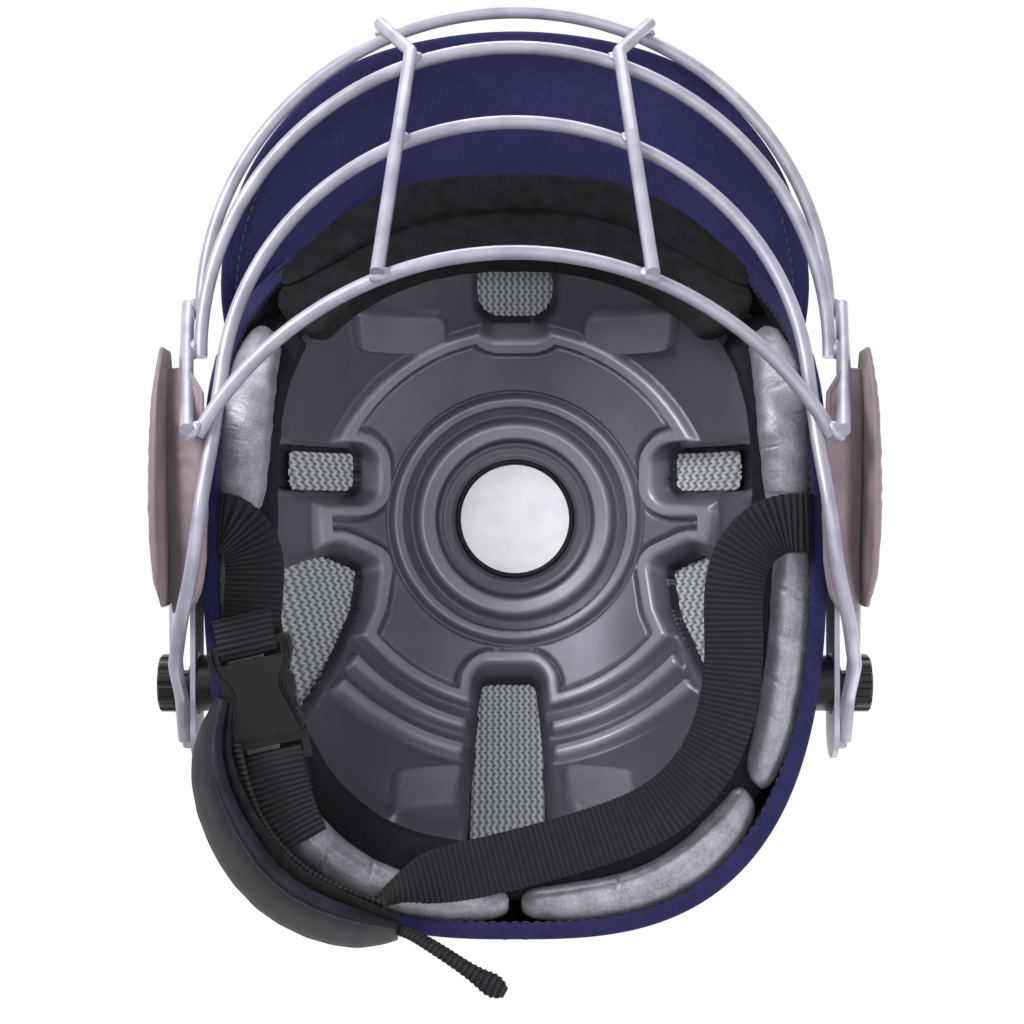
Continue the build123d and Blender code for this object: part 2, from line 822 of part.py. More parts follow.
with BuildPart() as strap_rivet:
    with BuildSketch(rivet_axis.offset(tab_inner_x)):
        Circle(rivet_cap_radius)
    extrude(amount=rivet_end_x - tab_inner_x)
    add(seat_form, mode=Mode.SUBTRACT)
    with BuildSketch(rivet_axis.offset(tab_inner_x)):
        Circle(rivet_head_radius)
    extrude(amount=-rivet_head_wall)
    chamfer(strap_rivet.edges().filter_by(GeomType.CIRCLE).sort_by(Axis.X)[0], length=head_chamfer)
    with BuildSketch(rivet_axis.offset(tab_inner_x)):
        Circle(rivet_radius - fit_gap)
    extrude(amount=rivet_end_x - tab_inner_x)
export_pair("strap_rivet", strap_rivet.part)

# Female half of the side-release buckle, on the wearer's right
buckle_x = -90.4
buckle_y = 41.0
buckle_drop = 3.3
buckle_turn = radians(13)
buckle_thickness = 9.0
buckle_end_half = 14.0
buckle_waist_half = 9.5
buckle_mouth_half = 12.6
buckle_length = 33.0
bar_depth = 3.0
bar_thickness = 4.4
slot_width = 21.0
recess_width = 24.4
slot_depth = 3.5
pocket_half = 10.0
pocket_height = 5.4
pocket_start = 9.0
window_start = 11.5
window_end = 25.5
buckle_plane = Plane(
    origin=(buckle_x, crown_y + buckle_y, hang_z - buckle_drop),
    x_dir=(cos(buckle_turn), -sin(buckle_turn), 0),
    z_dir=(0, 0, 1),
)
buckle_side = [
    (buckle_end_half, 0),
    (buckle_end_half, bar_depth + slot_depth),
    (buckle_waist_half, buckle_length / 2),
    (buckle_waist_half, buckle_length / 2 + bar_depth),
    (buckle_mouth_half, buckle_length - bar_depth),
    (buckle_mouth_half, buckle_length),
]
buckle_round = 2.0


def slab(x_size, y_start, y_end, z_start, z_end):
    # Box in the buckle's own frame
    with BuildPart() as block:
        with BuildSketch(buckle_plane.offset(z_start)):
            with Locations((0, y_start)):
                Rectangle(x_size, y_end - y_start, align=(Align.CENTER, Align.MIN))
        extrude(amount=z_end - z_start)
    return block.part


with BuildPart() as buckle_female:
    with BuildSketch(buckle_plane):
        with BuildLine():
            Polyline(*buckle_side, *[(-x, y) for x, y in reversed(buckle_side)], close=True)
        make_face()
    extrude(amount=buckle_thickness / 2, both=True)
    fillet(buckle_female.edges().filter_by(Axis.Z), radius=buckle_round)
    slot_end = bar_depth + slot_depth
    add(slab(slot_width, bar_depth, slot_end, -reach, reach), mode=Mode.SUBTRACT)
    add(slab(recess_width, -overrun, slot_end, bar_thickness / 2, reach), mode=Mode.SUBTRACT)
    add(slab(recess_width, -overrun, slot_end, -reach, -bar_thickness / 2), mode=Mode.SUBTRACT)
    add(slab(2 * pocket_half, pocket_start, reach, -pocket_height / 2, pocket_height / 2), mode=Mode.SUBTRACT)
    add(slab(reach, window_start, window_end, -pocket_height / 2, pocket_height / 2), mode=Mode.SUBTRACT)
buckle_female.part.label = "buckle_female"
export_step(buckle_female.part, "parts/buckle_female.step")

# Male half, with its two prongs sprung out into the side windows
prong_thickness = 4.8
tongue_width = 5.0
male_start = buckle_length + clearance
male_end = male_start + 2 * bar_depth + slot_depth
male_slot_start = male_start + bar_depth
prong_side = [
    (6.2, male_start),
    (6.2, 26.0),
    (7.4, 20.0),
    (8.0, 13.0),
    (10.8, 12.0),
    (12.5, 15.0),
    (12.3, 20.0),
    (9.6, 25.0),
    (9.6, male_start),
]
with BuildPart() as buckle_male:
    mouth_width = 2 * buckle_mouth_half
    add(slab(mouth_width, male_start, male_start + bar_depth, -prong_thickness / 2, buckle_thickness / 2))
    add(slab(mouth_width, male_start, male_end, -bar_thickness / 2, bar_thickness / 2))
    add(slab(slot_width, male_slot_start, male_slot_start + slot_depth, -reach, reach), mode=Mode.SUBTRACT)
    add(slab(tongue_width, window_start, male_start, -bar_thickness / 2, bar_thickness / 2))
    for side in (-1, 1):
        with BuildSketch(buckle_plane):
            with BuildLine():
                Polyline(*[(side * x, y) for x, y in prong_side], close=True)
            make_face()
        extrude(amount=prong_thickness / 2, both=True)
buckle_male.part.label = "buckle_male"
export_step(buckle_male.part, "parts/buckle_male.step")

# Short strap from the fold below the tab to the buckle, looped round the buckle's bar
loop_end = -9.0
short_x = -89.2
fold_z = buckle_drop - webbing / 2
with BuildPart() as strap_short:
    with BuildSketch(plan.offset(hang_z)):
        with BuildLine():
            strap_half = webbing_width / 2
            crown_place = Vector(0, crown_y, 0)
            corner_left = buckle_plane.from_local_coords(Vector(-strap_half, bar_depth, 0)) - crown_place
            corner_right = buckle_plane.from_local_coords(Vector(strap_half, bar_depth, 0)) - crown_place
            Polyline(
                (short_x - strap_half, hang_y),
                (short_x + strap_half, hang_y),
                (corner_right.X, corner_right.Y),
                (corner_left.X, corner_left.Y),
                close=True,
            )
        make_face()
    extrude(amount=webbing / 2, both=True)
    fold_y = bar_depth + clearance
    add(slab(webbing_width, bar_depth - overrun, fold_y + webbing, fold_z, fold_z + webbing))
    add(slab(webbing_width, fold_y, fold_y + webbing, -fold_z - webbing, fold_z))
    add(slab(webbing_width, loop_end, fold_y, -fold_z - webbing, -fold_z))
strap_short.part.label = "strap_short"
export_step(strap_short.part, "parts/strap_short.step")

# Long strap from the fold on the wearer's left, across behind the nape to the chin cup
long_path = [
    (99.2, 1.0),
    (74.0, 1.0),
    (74.0, 60.0),
    (58.0, 90.0),
    (15.0, 110.0),
    (-30.0, 121.0),
    (-47.0, 124.0),
]
long_radii = [12.0, 25.0, 25.0, 25.0, 25.0]
with BuildPart() as strap_long:
    with BuildSketch(plan.offset(hang_z)):
        with BuildLine():
            FilletPolyline(*long_path, radius=long_radii)
        trace(line_width=webbing_width)
    extrude(amount=webbing / 2, both=True)
strap_long.part.label = "strap_long"
export_step(strap_long.part, "parts/strap_long.step")


def cup_layer(stations, lean, inwards=0, thickness_share=1, height_share=1):
    # Crescent layer of the chin cup: x, y, z, half thickness and half height of each section
    last = len(stations) - 1
    with BuildPart() as layer:
        for step, (x, y, z, half_thickness, half_height) in enumerate(stations):
            before, after = stations[max(step - 1, 0)], stations[min(step + 1, last)]
            along = Vector(after[0] - before[0], after[1] - before[1], 0).normalized()
            out = Vector(-along.Y, along.X, 0)
            shift = half_thickness * inwards
            middle = Vector(x, crown_y + y, z + shift * sin(lean)) - out * (shift * cos(lean))
            with BuildSketch(Plane(origin=middle, x_dir=out, z_dir=along)):
                Ellipse(half_thickness * thickness_share, half_height * height_share, rotation=-degrees(lean))
        loft()
    return layer.part


# Chin cup of smooth leather that rests on the floor, leaning outwards at the top
cup_lean = radians(30)
cup_stations = [
    (-97.5, 60.0, 20.5, 1.6, 2.6),
    (-101.0, 76.0, 16.0, 2.6, 7.5),
    (-93.5, 103.0, 15.0, 3.2, 14.6),
    (-79.5, 121.5, 14.7, 3.4, 16.0),
    (-62.5, 131.5, 14.9, 3.2, 15.5),
    (-48.0, 135.5, 17.0, 2.6, 11.0),
    (-39.0, 137.0, 19.5, 1.8, 5.0),
]
with BuildPart() as chin_cup:
    add(cup_layer(cup_stations, cup_lean))
chin_cup.part.label = "chin_cup"
export_step(chin_cup.part, "parts/chin_cup.step")

# Lining inside the cup, and the webbing stitched to the lining
lining_place = 1.7
lining_share = 0.55
lining_height_share = 0.85
strip_place = 2.55
strip_share = 0.26
strip_height_share = 0.6
with BuildPart() as chin_cup_lining:
    add(cup_layer(cup_stations, cup_lean, lining_place, lining_share, lining_height_share))
chin_cup_lining.part.label = "chin_cup_lining"
export_step(chin_cup_lining.part, "parts/chin_cup_lining.step")

with BuildPart() as cup_webbing:
    add(cup_layer(cup_stations[1:], cup_lean, strip_place, strip_share, strip_height_share))
cup_webbing.part.label = "cup_webbing"
export_step(cup_webbing.part, "parts/cup_webbing.step")

# Webbing looped round the male half's bar and stitched to the chin cup
male_bar_y = male_end - bar_depth - clearance
loop_reach = 54.0
loop_end_reach = 80.0
with BuildPart() as strap_loop:
    add(slab(webbing_width, male_bar_y - webbing, male_bar_y, -fold_z - webbing, fold_z + webbing))
    add(slab(webbing_width, male_bar_y, loop_reach, fold_z, fold_z + webbing))
    add(slab(webbing_width, male_bar_y, loop_end_reach, -fold_z - webbing, -fold_z))
    for layer in (chin_cup, chin_cup_lining, cup_webbing):
        add(layer.part, mode=Mode.SUBTRACT)
strap_loop.part.label = "strap_loop"
export_step(strap_loop.part, "parts/strap_loop.step")

# Rolled and stitched end of the webbing
tail_stations = [
    (-38.97, 137.005, 19.3, 1.5, 3.4),
    (-36.5, 137.42, 18.3, 1.6, 3.5),
    (-30.0, 139.6, 14.0, 1.9, 3.6),
    (-20.0, 144.6, 8.0, 2.2, 3.6),
    (-11.0, 149.8, 4.6, 3.1, 3.6),
    (-5.5, 153.0, 4.0, 3.3, 3.4),
    (-3.2, 154.3, 4.0, 1.8, 1.8),
]
with BuildPart() as strap_tail:
    add(cup_layer(tail_stations, 0))
strap_tail.part.label = "strap_tail"
export_step(strap_tail.part, "parts/strap_tail.step")
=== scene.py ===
import json
import math
import bmesh
import bpy
import numpy as np
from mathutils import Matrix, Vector


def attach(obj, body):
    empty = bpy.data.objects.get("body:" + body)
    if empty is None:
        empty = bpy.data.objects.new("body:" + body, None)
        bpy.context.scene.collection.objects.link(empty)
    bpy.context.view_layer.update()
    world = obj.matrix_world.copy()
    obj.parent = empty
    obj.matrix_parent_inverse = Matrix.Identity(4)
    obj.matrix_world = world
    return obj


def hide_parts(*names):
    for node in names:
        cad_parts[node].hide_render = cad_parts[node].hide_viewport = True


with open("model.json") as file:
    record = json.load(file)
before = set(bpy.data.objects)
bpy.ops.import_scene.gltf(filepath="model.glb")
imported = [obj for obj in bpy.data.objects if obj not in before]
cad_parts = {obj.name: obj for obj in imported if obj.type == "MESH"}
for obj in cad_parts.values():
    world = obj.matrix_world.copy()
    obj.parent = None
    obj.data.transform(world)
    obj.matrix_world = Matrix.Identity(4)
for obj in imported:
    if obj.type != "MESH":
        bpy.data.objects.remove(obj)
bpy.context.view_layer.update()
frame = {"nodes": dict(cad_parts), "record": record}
nodes = frame["nodes"]
print("frame loaded with", len(nodes), "nodes")

mm = 0.001
crownY = 17.64  # the crown's axis: shapes are drawn in millimetres about it

# camera below the rim, looking straight up into the helmet
camera = {"distance": 680.0, "focal": 73.83, "shiftX": -0.0029, "shiftY": 0.0068}
bpy.ops.object.camera_add(location=(0, crownY * mm, -camera["distance"] * mm), rotation=(math.pi, 0, 0))
photoCamera = bpy.context.object
photoCamera.data.lens = camera["focal"]
photoCamera.data.sensor_width = 36
photoCamera.data.shift_x = camera["shiftX"]
photoCamera.data.shift_y = camera["shiftY"]
photoCamera.data.clip_start = 0.01
bpy.context.scene.camera = photoCamera


def toLinear(hexColour):
    # sRGB hex to the linear values that a shader reads
    values = [int(hexColour[k:k + 2], 16) / 255 for k in (1, 3, 5)]
    return (*[v / 12.92 if v <= 0.04045 else ((v + 0.055) / 1.055) ** 2.4 for v in values], 1.0)


def addNode(tree, kind, inputs=None, **settings):
    # one node with its settings; an input is a value, a socket, or a node whose first output is taken
    node = tree.nodes.new("ShaderNode" + kind)
    for name, value in settings.items():
        setattr(node, name, value)
    for name, value in (inputs or {}).items():
        if isinstance(value, bpy.types.Node):
            value = value.outputs[0]
        if isinstance(value, bpy.types.NodeSocket):
            tree.links.new(value, node.inputs[name])
        else:
            node.inputs[name].default_value = value
    return node


def newMaterial(name):
    # an empty material, its tree and the piece's own coordinates
    material = bpy.data.materials.new(name)
    material.use_nodes = True
    tree = material.node_tree
    tree.nodes.clear()
    return material, tree, addNode(tree, "TexCoord").outputs["Object"]


lamps = {
    "key": {"place": (-0.5, -0.5, -0.42), "size": 0.35, "power": 10.0},
    "fill": {"place": (0.6, 0.4, -0.45), "size": 0.4, "power": 6.0},
    "front": {"place": (0.0, -1.1, 0.35), "size": 0.9, "power": 7.0},
    "above": {"place": (0.3, 0.1, 1.3), "size": 1.2, "power": 6.0},
    "back": {"place": (0.55, 1.0, 0.5), "size": 0.9, "power": 3.0},
    "ring": {"place": (0.05, 0.0, -0.95), "size": 0.3, "power": 6.0},
}
aimedAt = Vector((0, crownY * mm, 0.09))
for lampName, lamp in lamps.items():
    bpy.ops.object.light_add(type="AREA", location=lamp["place"])
    light = bpy.context.object
    light.name = "lamp_" + lampName
    light.data.size = lamp["size"]
    light.data.energy = lamp["power"]
    light.rotation_euler = (aimedAt - Vector(lamp["place"])).to_track_quat("-Z", "Y").to_euler()
    light.visible_camera = False

studio = {
    "ambient": 0.26, "backdrop": 1.0, "paper": (1, 1, 1, 1),
    "floor": "#ececee", "floorGlow": 0.42, "fadeFrom": 0.35, "fadeTo": 1.3,
}
world = bpy.data.worlds.new("studio")
bpy.context.scene.world = world
world.use_nodes = True
tree = world.node_tree
tree.nodes.clear()
rays = addNode(tree, "LightPath").outputs
looked = addNode(tree, "Math", {0: rays["Is Camera Ray"], 1: rays["Is Transmission Ray"]}, operation="MAXIMUM")
seen = addNode(tree, "Math", {0: looked, 1: rays["Is Glossy Ray"]}, operation="MAXIMUM")
ambient = addNode(tree, "Background", {"Color": studio["paper"], "Strength": studio["ambient"]})
white = addNode(tree, "Background", {"Color": studio["paper"], "Strength": studio["backdrop"]})
backdrop = addNode(tree, "MixShader", {0: seen, 1: ambient, 2: white})
addNode(tree, "OutputWorld", {"Surface": backdrop})

# the floor is seen from above only, so that the picture can be taken from under the helmet, and it fades into the
# backdrop
bpy.ops.mesh.primitive_plane_add(size=6, location=(0, 0, -0.0004))
floor = bpy.context.object
floor.name = "floor"
floorMaterial, tree, place = newMaterial("paleFloor")
below = addNode(tree, "NewGeometry").outputs["Backfacing"]
rays = addNode(tree, "LightPath").outputs
through = addNode(tree, "Math", {0: below, 1: rays["Is Shadow Ray"]}, operation="MAXIMUM")
away = addNode(tree, "VectorMath", {0: place}, operation="LENGTH").outputs["Value"]
fading = {"Value": away, "From Min": studio["fadeFrom"], "From Max": studio["fadeTo"]}
glow = addNode(tree, "MapRange", {**fading, "To Min": studio["floorGlow"], "To Max": 1.0},
               interpolation_type="SMOOTHSTEP")
grey = addNode(tree, "MapRange", {**fading, "To Min": toLinear(studio["floor"])[0], "To Max": 0.0},
               interpolation_type="SMOOTHSTEP")
lit = addNode(tree, "Math", {0: rays["Is Camera Ray"], 1: glow}, operation="MULTIPLY")
paint = addNode(tree, "BsdfPrincipled", {
    "Base Color": grey, "Roughness": 0.8, "Emission Color": studio["paper"], "Emission Strength": lit,
})
mixed = addNode(tree, "MixShader", {0: through, 1: paint, 2: addNode(tree, "BsdfTransparent")})
addNode(tree, "OutputMaterial", {"Surface": mixed})
floor.data.materials.append(floorMaterial)
bpy.context.scene.view_settings.view_transform = "Standard"
print("camera, lamps and floor are set")


def perMetre(sizeInMm):
    # texture scale at which one cell is this many millimetres
    return 1000 / sizeInMm


def weighted(tree, first, firstShare, second, secondShare):
    # sum of two patterns by their shares
    rest = addNode(tree, "Math", {0: second, 1: secondShare}, operation="MULTIPLY")
    return addNode(tree, "Math", {0: first, 1: firstShare, 2: rest}, operation="MULTIPLY_ADD")


def surface(tree, tone, height, look):
    # colours laid along a tone, and a bump given as its depth in millimetres and its strength
    colours = addNode(tree, "ValToRGB", {"Fac": tone})
    elements = colours.color_ramp.elements
    while len(elements) < len(look["stops"]):
        elements.new(0.5)
    for element, (position, colour) in zip(elements, look["stops"]):
        element.position = position
        element.color = toLinear(colour)
    depth, strength = look["bump"]
    bump = addNode(tree, "Bump", {"Height": height, "Distance": depth * mm, "Strength": strength})
    shader = addNode(tree, "BsdfPrincipled", {"Base Color": colours, "Normal": bump, **look["shader"]})
    addNode(tree, "OutputMaterial", {"Surface": shader})


materials = {}

# polyester twill, dyed navy: short slubs of thread three times as long as wide, coarser than the real ones, so that
# they show
twill = {
    "turn": (0.6, 0.5, 0.7), "drawn": (1.0, 0.33, 1.0),
    "slub": {"Scale": perMetre(0.9), "Roughness": 0.6}, "mottle": {"Scale": perMetre(9.0), "Detail": 4.0},
    "stops": [(0.66, "#0c0d30"), (0.88, "#1c1d4a")], "bump": (0.25, 0.6),
    "shader": {"Roughness": 0.85, "Specular IOR Level": 0.25, "Sheen Weight": 0.03, "Sheen Roughness": 0.5},
}
materials["navy_cloth"], tree, place = newMaterial("navyPolyesterTwill")
place = addNode(tree, "Mapping", {"Vector": place, "Rotation": twill["turn"]})
drawn = addNode(tree, "Mapping", {"Vector": place, "Scale": twill["drawn"]})
slubs = addNode(tree, "TexNoise", {"Vector": drawn, **twill["slub"]})
mottle = addNode(tree, "TexNoise", {"Vector": place, **twill["mottle"]})
mottled = addNode(tree, "Math", {0: mottle, 1: 0.2, 2: 0.5}, operation="MULTIPLY_ADD")
tone = addNode(tree, "Math", {0: slubs, 1: 0.35, 2: mottled}, operation="MULTIPLY_ADD")
surface(tree, tone, slubs, twill)

# moulded EVA foam, satin skin from a polished mould with a faint orange peel of 1.5 mm: the colour follows the piece's
# own height of the relief, with painted highlights on its ridges and painted shade in its grooves
foam = {
    "cloud": {"Scale": perMetre(30.0), "Detail": 5.0}, "peel": {"Scale": perMetre(1.5)}, "bump": (0.05, 0.35),
    "stops": [(0.12, "#2f2e36"), (0.36, "#5b5a64"), (0.72, "#6f6e79"), (0.98, "#a09faa")],
    "shader": {"Roughness": 0.34, "Metallic": 0.5, "Specular IOR Level": 0.65},
}
materials["grey_foam"], tree, place = newMaterial("mouldedEvaFoam")
cloud = addNode(tree, "TexNoise", {"Vector": place, **foam["cloud"]})
peel = addNode(tree, "TexNoise", {"Vector": place, **foam["peel"]})
raised = addNode(tree, "Attribute", attribute_name="relief").outputs["Fac"]
uneven = addNode(tree, "Math", {0: cloud, 1: 0.5}, operation="SUBTRACT")
# tone from the relief with a little random cloud: painted highlight on the ridges, painted shade in the grooves
paintedRidgeLightGrooveShade = addNode(tree, "Math", {0: uneven, 1: 0.25, 2: raised}, operation="MULTIPLY_ADD")
surface(tree, paintedRidgeLightGrooveShade, peel, foam)

# needle-punched felt: matted fibres of about 0.7 mm, with lint
felt = {
    "fibre": {"Scale": perMetre(0.7), "Detail": 6.0, "Roughness": 0.7},
    "lint": {"Scale": perMetre(6.0), "Detail": 4.0},
    "stops": [(0.15, "#0b0b0e"), (0.42, "#1d1c21")], "bump": (0.5, 0.6),
    "shader": {"Roughness": 0.96, "Specular IOR Level": 0.15, "Sheen Weight": 0.02},
}
materials["black_felt"], tree, place = newMaterial("needledFelt")
fibres = addNode(tree, "TexNoise", {"Vector": place, **felt["fibre"]})
lint = addNode(tree, "TexNoise", {"Vector": place, **felt["lint"]})
surface(tree, addNode(tree, "Math", {0: fibres, 1: lint}, operation="MULTIPLY"), fibres, felt)

# warp-knitted spacer mesh: pale loops in wavy columns, on the piece's own height of the weave, with painted shade
# where the weave dips between the loops
knit = {
    "fuzz": {"Scale": perMetre(0.7), "Detail": 3.0},
    "stops": [(0.2, "#55585d"), (0.5, "#8d9195"), (0.85, "#bcc0c2")], "bump": (0.5, 0.5),
    "shader": {"Roughness": 0.85, "Specular IOR Level": 0.3},
}
materials["spacer_mesh"], tree, place = newMaterial("knittedSpacerMesh")
loops = addNode(tree, "Attribute", attribute_name="weave").outputs["Fac"]
fuzz = addNode(tree, "TexNoise", {"Vector": place, **knit["fuzz"]})
# the weave's height sets the colour too: painted shade between the loops where the weave dips
raised = weighted(tree, loops, 0.8, fuzz, 0.25)
surface(tree, raised, raised, knit)

# coated fabric with a silver metallic lacquer: pebble grain of 1.1 mm and soft creases
vinyl = {
    "grain": {"Scale": perMetre(1.1)}, "crease": {"Scale": perMetre(7.0), "Detail": 5.0, "Roughness": 0.6},
    "glint": {"Scale": perMetre(0.7)}, "stops": [(0.3, "#6a6a72"), (0.7, "#a6a6ae")], "bump": (0.5, 0.55),
    "shader": {"Roughness": 0.36, "Metallic": 0.55},
}
materials["silver_vinyl"], tree, place = newMaterial("silverCoatedVinyl")
grain = addNode(tree, "TexVoronoi", {"Vector": place, **vinyl["grain"]}, feature="SMOOTH_F1")
crease = addNode(tree, "TexNoise", {"Vector": place, **vinyl["crease"]})
glint = addNode(tree, "TexNoise", {"Vector": place, **vinyl["glint"]})
surface(tree, weighted(tree, crease, 0.6, glint, 0.4), weighted(tree, grain, 0.3, crease, 1.0), vinyl)

# microfibre suede, brushed: a mottled nap in soft patches
suede = {
    "nap": {"Scale": perMetre(0.6), "Detail": 5.0, "Roughness": 0.7},
    "patch": {"Scale": perMetre(14.0), "Detail": 4.0},
    "stops": [(0.2, "#5c5056"), (0.72, "#83757c")], "bump": (0.2, 0.5),
    "shader": {"Roughness": 0.92, "Specular IOR Level": 0.3, "Sheen Weight": 0.12, "Sheen Roughness": 0.4},
}
materials["ear_suede"], tree, place = newMaterial("brushedSuede")
nap = addNode(tree, "TexNoise", {"Vector": place, **suede["nap"]})
patch = addNode(tree, "TexNoise", {"Vector": place, **suede["patch"]})
surface(tree, weighted(tree, patch, 0.5, nap, 0.5), nap, suede)

# ribbed polyester webbing: a cord every 1.9 mm across the strap, on the piece's own UV map in millimetres
webbing = {
    "rib": 1.9, "thread": 0.8, "fuzz": {"Scale": perMetre(0.6), "Detail": 3.0},
    "stops": [(0.2, "#08070b"), (0.95, "#252229")], "bump": (0.7, 0.8),
    "shader": {"Roughness": 0.8, "Specular IOR Level": 0.3},
}
materials["black_webbing"], tree, place = newMaterial("ribbedWebbing")
strip = addNode(tree, "SeparateXYZ", {0: addNode(tree, "UVMap", uv_map="strip")}).outputs
beats = []
for direction, spacing in ((0, webbing["rib"]), (1, webbing["thread"])):
    phase = addNode(tree, "Math", {0: strip[direction], 1: 2 * math.pi / spacing}, operation="MULTIPLY")
    beat = addNode(tree, "Math", {0: phase}, operation="SINE")
    beats.append(addNode(tree, "Math", {0: beat, 1: 0.5, 2: 0.5}, operation="MULTIPLY_ADD"))
crossed = addNode(tree, "Math", {0: beats[1], 1: beats[0]}, operation="MULTIPLY")
woven = weighted(tree, beats[0], 0.75, crossed, 0.3)
fuzz = addNode(tree, "TexNoise", {"Vector": place, **webbing["fuzz"]})
surface(tree, weighted(tree, woven, 0.75, fuzz, 0.25), woven, webbing)

# finishes with one pattern for the colour, and another for the bump where there is a grain of its own
plainFinishes = {
    # open-cell polyether foam: pores of 0.8 mm
    "black_foam": {
        "name": "openCellFoam", "cloud": ("TexVoronoi", {"Scale": perMetre(0.8)}), "bump": (0.3, 0.5),
        "stops": [(0.1, "#0e0e12"), (0.7, "#1b1b20")], "shader": {"Roughness": 0.93, "Specular IOR Level": 0.15},
    },
    # silver powder coat on steel wire: fine orange peel of 0.8 mm, slightly violet in this light
    "silver_wire": {
        "name": "silverPowderCoat", "cloud": ("TexNoise", {"Scale": perMetre(12.0), "Detail": 3.0}),
        "grain": ("TexNoise", {"Scale": perMetre(0.8)}), "bump": (0.06, 0.4),
        "stops": [(0.3, "#8c8a98"), (0.6, "#a3a1af")], "shader": {"Roughness": 0.34, "Metallic": 0.5},
    },
    # full-grain leather with a semi-gloss black finish: pores of 0.9 mm
    "dark_leather": {
        "name": "finishedLeather", "cloud": ("TexNoise", {"Scale": perMetre(11.0), "Detail": 4.0}),
        "grain": ("TexVoronoi", {"Scale": perMetre(0.9)}), "bump": (0.07, 0.4),
        "stops": [(0.3, "#131118"), (0.7, "#221f29")], "shader": {"Roughness": 0.5, "Specular IOR Level": 0.16},
    },
    # injection-moulded acetal, black with a semi-gloss skin
    "black_plastic": {
        "name": "mouldedAcetal", "cloud": ("TexNoise", {"Scale": perMetre(8.0)}),
        "grain": ("TexNoise", {"Scale": perMetre(0.7)}), "bump": (0.03, 0.3),
        "stops": [(0.3, "#08080b"), (0.8, "#131318")], "shader": {"Roughness": 0.24},
    },
    # zinc-plated steel with the fine marks of turning
    "steel_hardware": {
        "name": "zincPlatedSteel", "cloud": ("TexNoise", {"Scale": perMetre(0.5)}), "bump": (0.02, 0.3),
        "stops": [(0.2, "#8d8e94"), (0.7, "#b9bac0")], "shader": {"Roughness": 0.3, "Metallic": 1.0},
    },
    # turned brass
    "brass_insert": {
        "name": "turnedBrass", "cloud": ("TexNoise", {"Scale": perMetre(0.5)}), "bump": (0.02, 0.3),
        "stops": [(0.2, "#8f7434"), (0.7, "#c2a45c")], "shader": {"Roughness": 0.32, "Metallic": 1.0},
    },
    # polyester label film, left bare
    "white_label": {
        "name": "bareLabelFilm", "cloud": ("TexNoise", {"Scale": perMetre(9.0)}), "bump": (0.02, 0.2),
        "stops": [(0.3, "#e9eaf0"), (0.6, "#f2f3f8")], "shader": {"Roughness": 0.34},
    },
    # moulded ABS, matte black inside
    "shell_inside": {
        "name": "mouldedAbs", "cloud": ("TexNoise", {"Scale": perMetre(1.2)}), "bump": (0.05, 0.4),
        "stops": [(0.2, "#101014"), (0.8, "#1c1c21")], "shader": {"Roughness": 0.6},
    },
    # twisted sewing thread
    "thread": {
        "name": "sewingThread", "cloud": ("TexNoise", {"Scale": perMetre(0.4)}), "bump": (0.1, 0.5),
        "stops": [(0.2, "#17171d"), (0.8, "#3a3a46")], "shader": {"Roughness": 0.6},
    },
}
for slotName, finish in plainFinishes.items():
    materials[slotName], tree, place = newMaterial(finish["name"])
    patterns = (finish["cloud"], finish.get("grain", finish["cloud"]))
    cloud, grain = [addNode(tree, kind, {"Vector": place, **values}) for kind, values in patterns]
    surface(tree, cloud, grain, finish)
print("materials are made:", len(materials))

slots = {part["node"]: part["material_slot"] for part in frame["record"]["subparts"]}
for nodeName, node in nodes.items():
    node.data.materials.clear()
    node.data.materials.append(materials[slots[nodeName]])
    for polygon in node.data.polygons:
        polygon.material_index = 0

# the dome: each row gives height, width and squareness of the outline
dome = {
    "halfWidth": 109.0, "frontLength": 134.0, "rearLength": 147.0,
    "crownHeight": 212.0, "widestHeight": 80.0, "formFloor": 22.0,
    "rows": [
        (-1.0, 0.955, 2.9), (-0.4, 0.988, 2.8), (0.0, 1.0, 2.7), (0.27, 0.974, 2.6), (0.5, 0.894, 2.45),
        (0.69, 0.768, 2.3), (0.84, 0.594, 2.15), (0.935, 0.401, 2.05), (0.984, 0.212, 2.0), (0.9985, 0.07, 2.0),
        (1.0, 0.0, 2.0),
    ],
    "earHeight": 36.5, "browHeight": 118.0, "riseStart": -28.0, "riseEnd": -114.0,
}
upperHeight = dome["crownHeight"] - dome["widestHeight"]
lowerHeight = dome["widestHeight"] - dome["formFloor"]


def unit(vectors):
    return vectors / np.linalg.norm(vectors, axis=-1, keepdims=True)


def headings(line):
    # direction of a line at each of its points
    return unit(np.gradient(line, axis=0))


def lengthsAlong(points):
    return np.concatenate([[0], np.cumsum(np.linalg.norm(np.diff(points, axis=0), axis=1))])


def naturalSpline(x, y, at):
    # natural cubic spline through x, y, evaluated at many places
    x, y, at = np.asarray(x, float), np.asarray(y, float), np.asarray(at, float)
    n = len(x)
    h = np.diff(x)
    a = np.zeros((n, n))
    r = np.zeros(n)
    a[0, 0] = a[-1, -1] = 1
    for i in range(1, n - 1):
        a[i, i - 1], a[i, i], a[i, i + 1] = h[i - 1], 2 * (h[i - 1] + h[i]), h[i]
        r[i] = 6 * ((y[i + 1] - y[i]) / h[i] - (y[i] - y[i - 1]) / h[i - 1])
    m = np.linalg.solve(a, r)
    k = np.clip(np.searchsorted(x, at) - 1, 0, n - 2)
    before, after = at - x[k], x[k + 1] - at
    bent = (m[k] * after ** 3 + m[k + 1] * before ** 3) / (6 * h[k])
    return bent + (y[k] / h[k] - m[k] * h[k] / 6) * after + (y[k + 1] / h[k] - m[k + 1] * h[k] / 6) * before


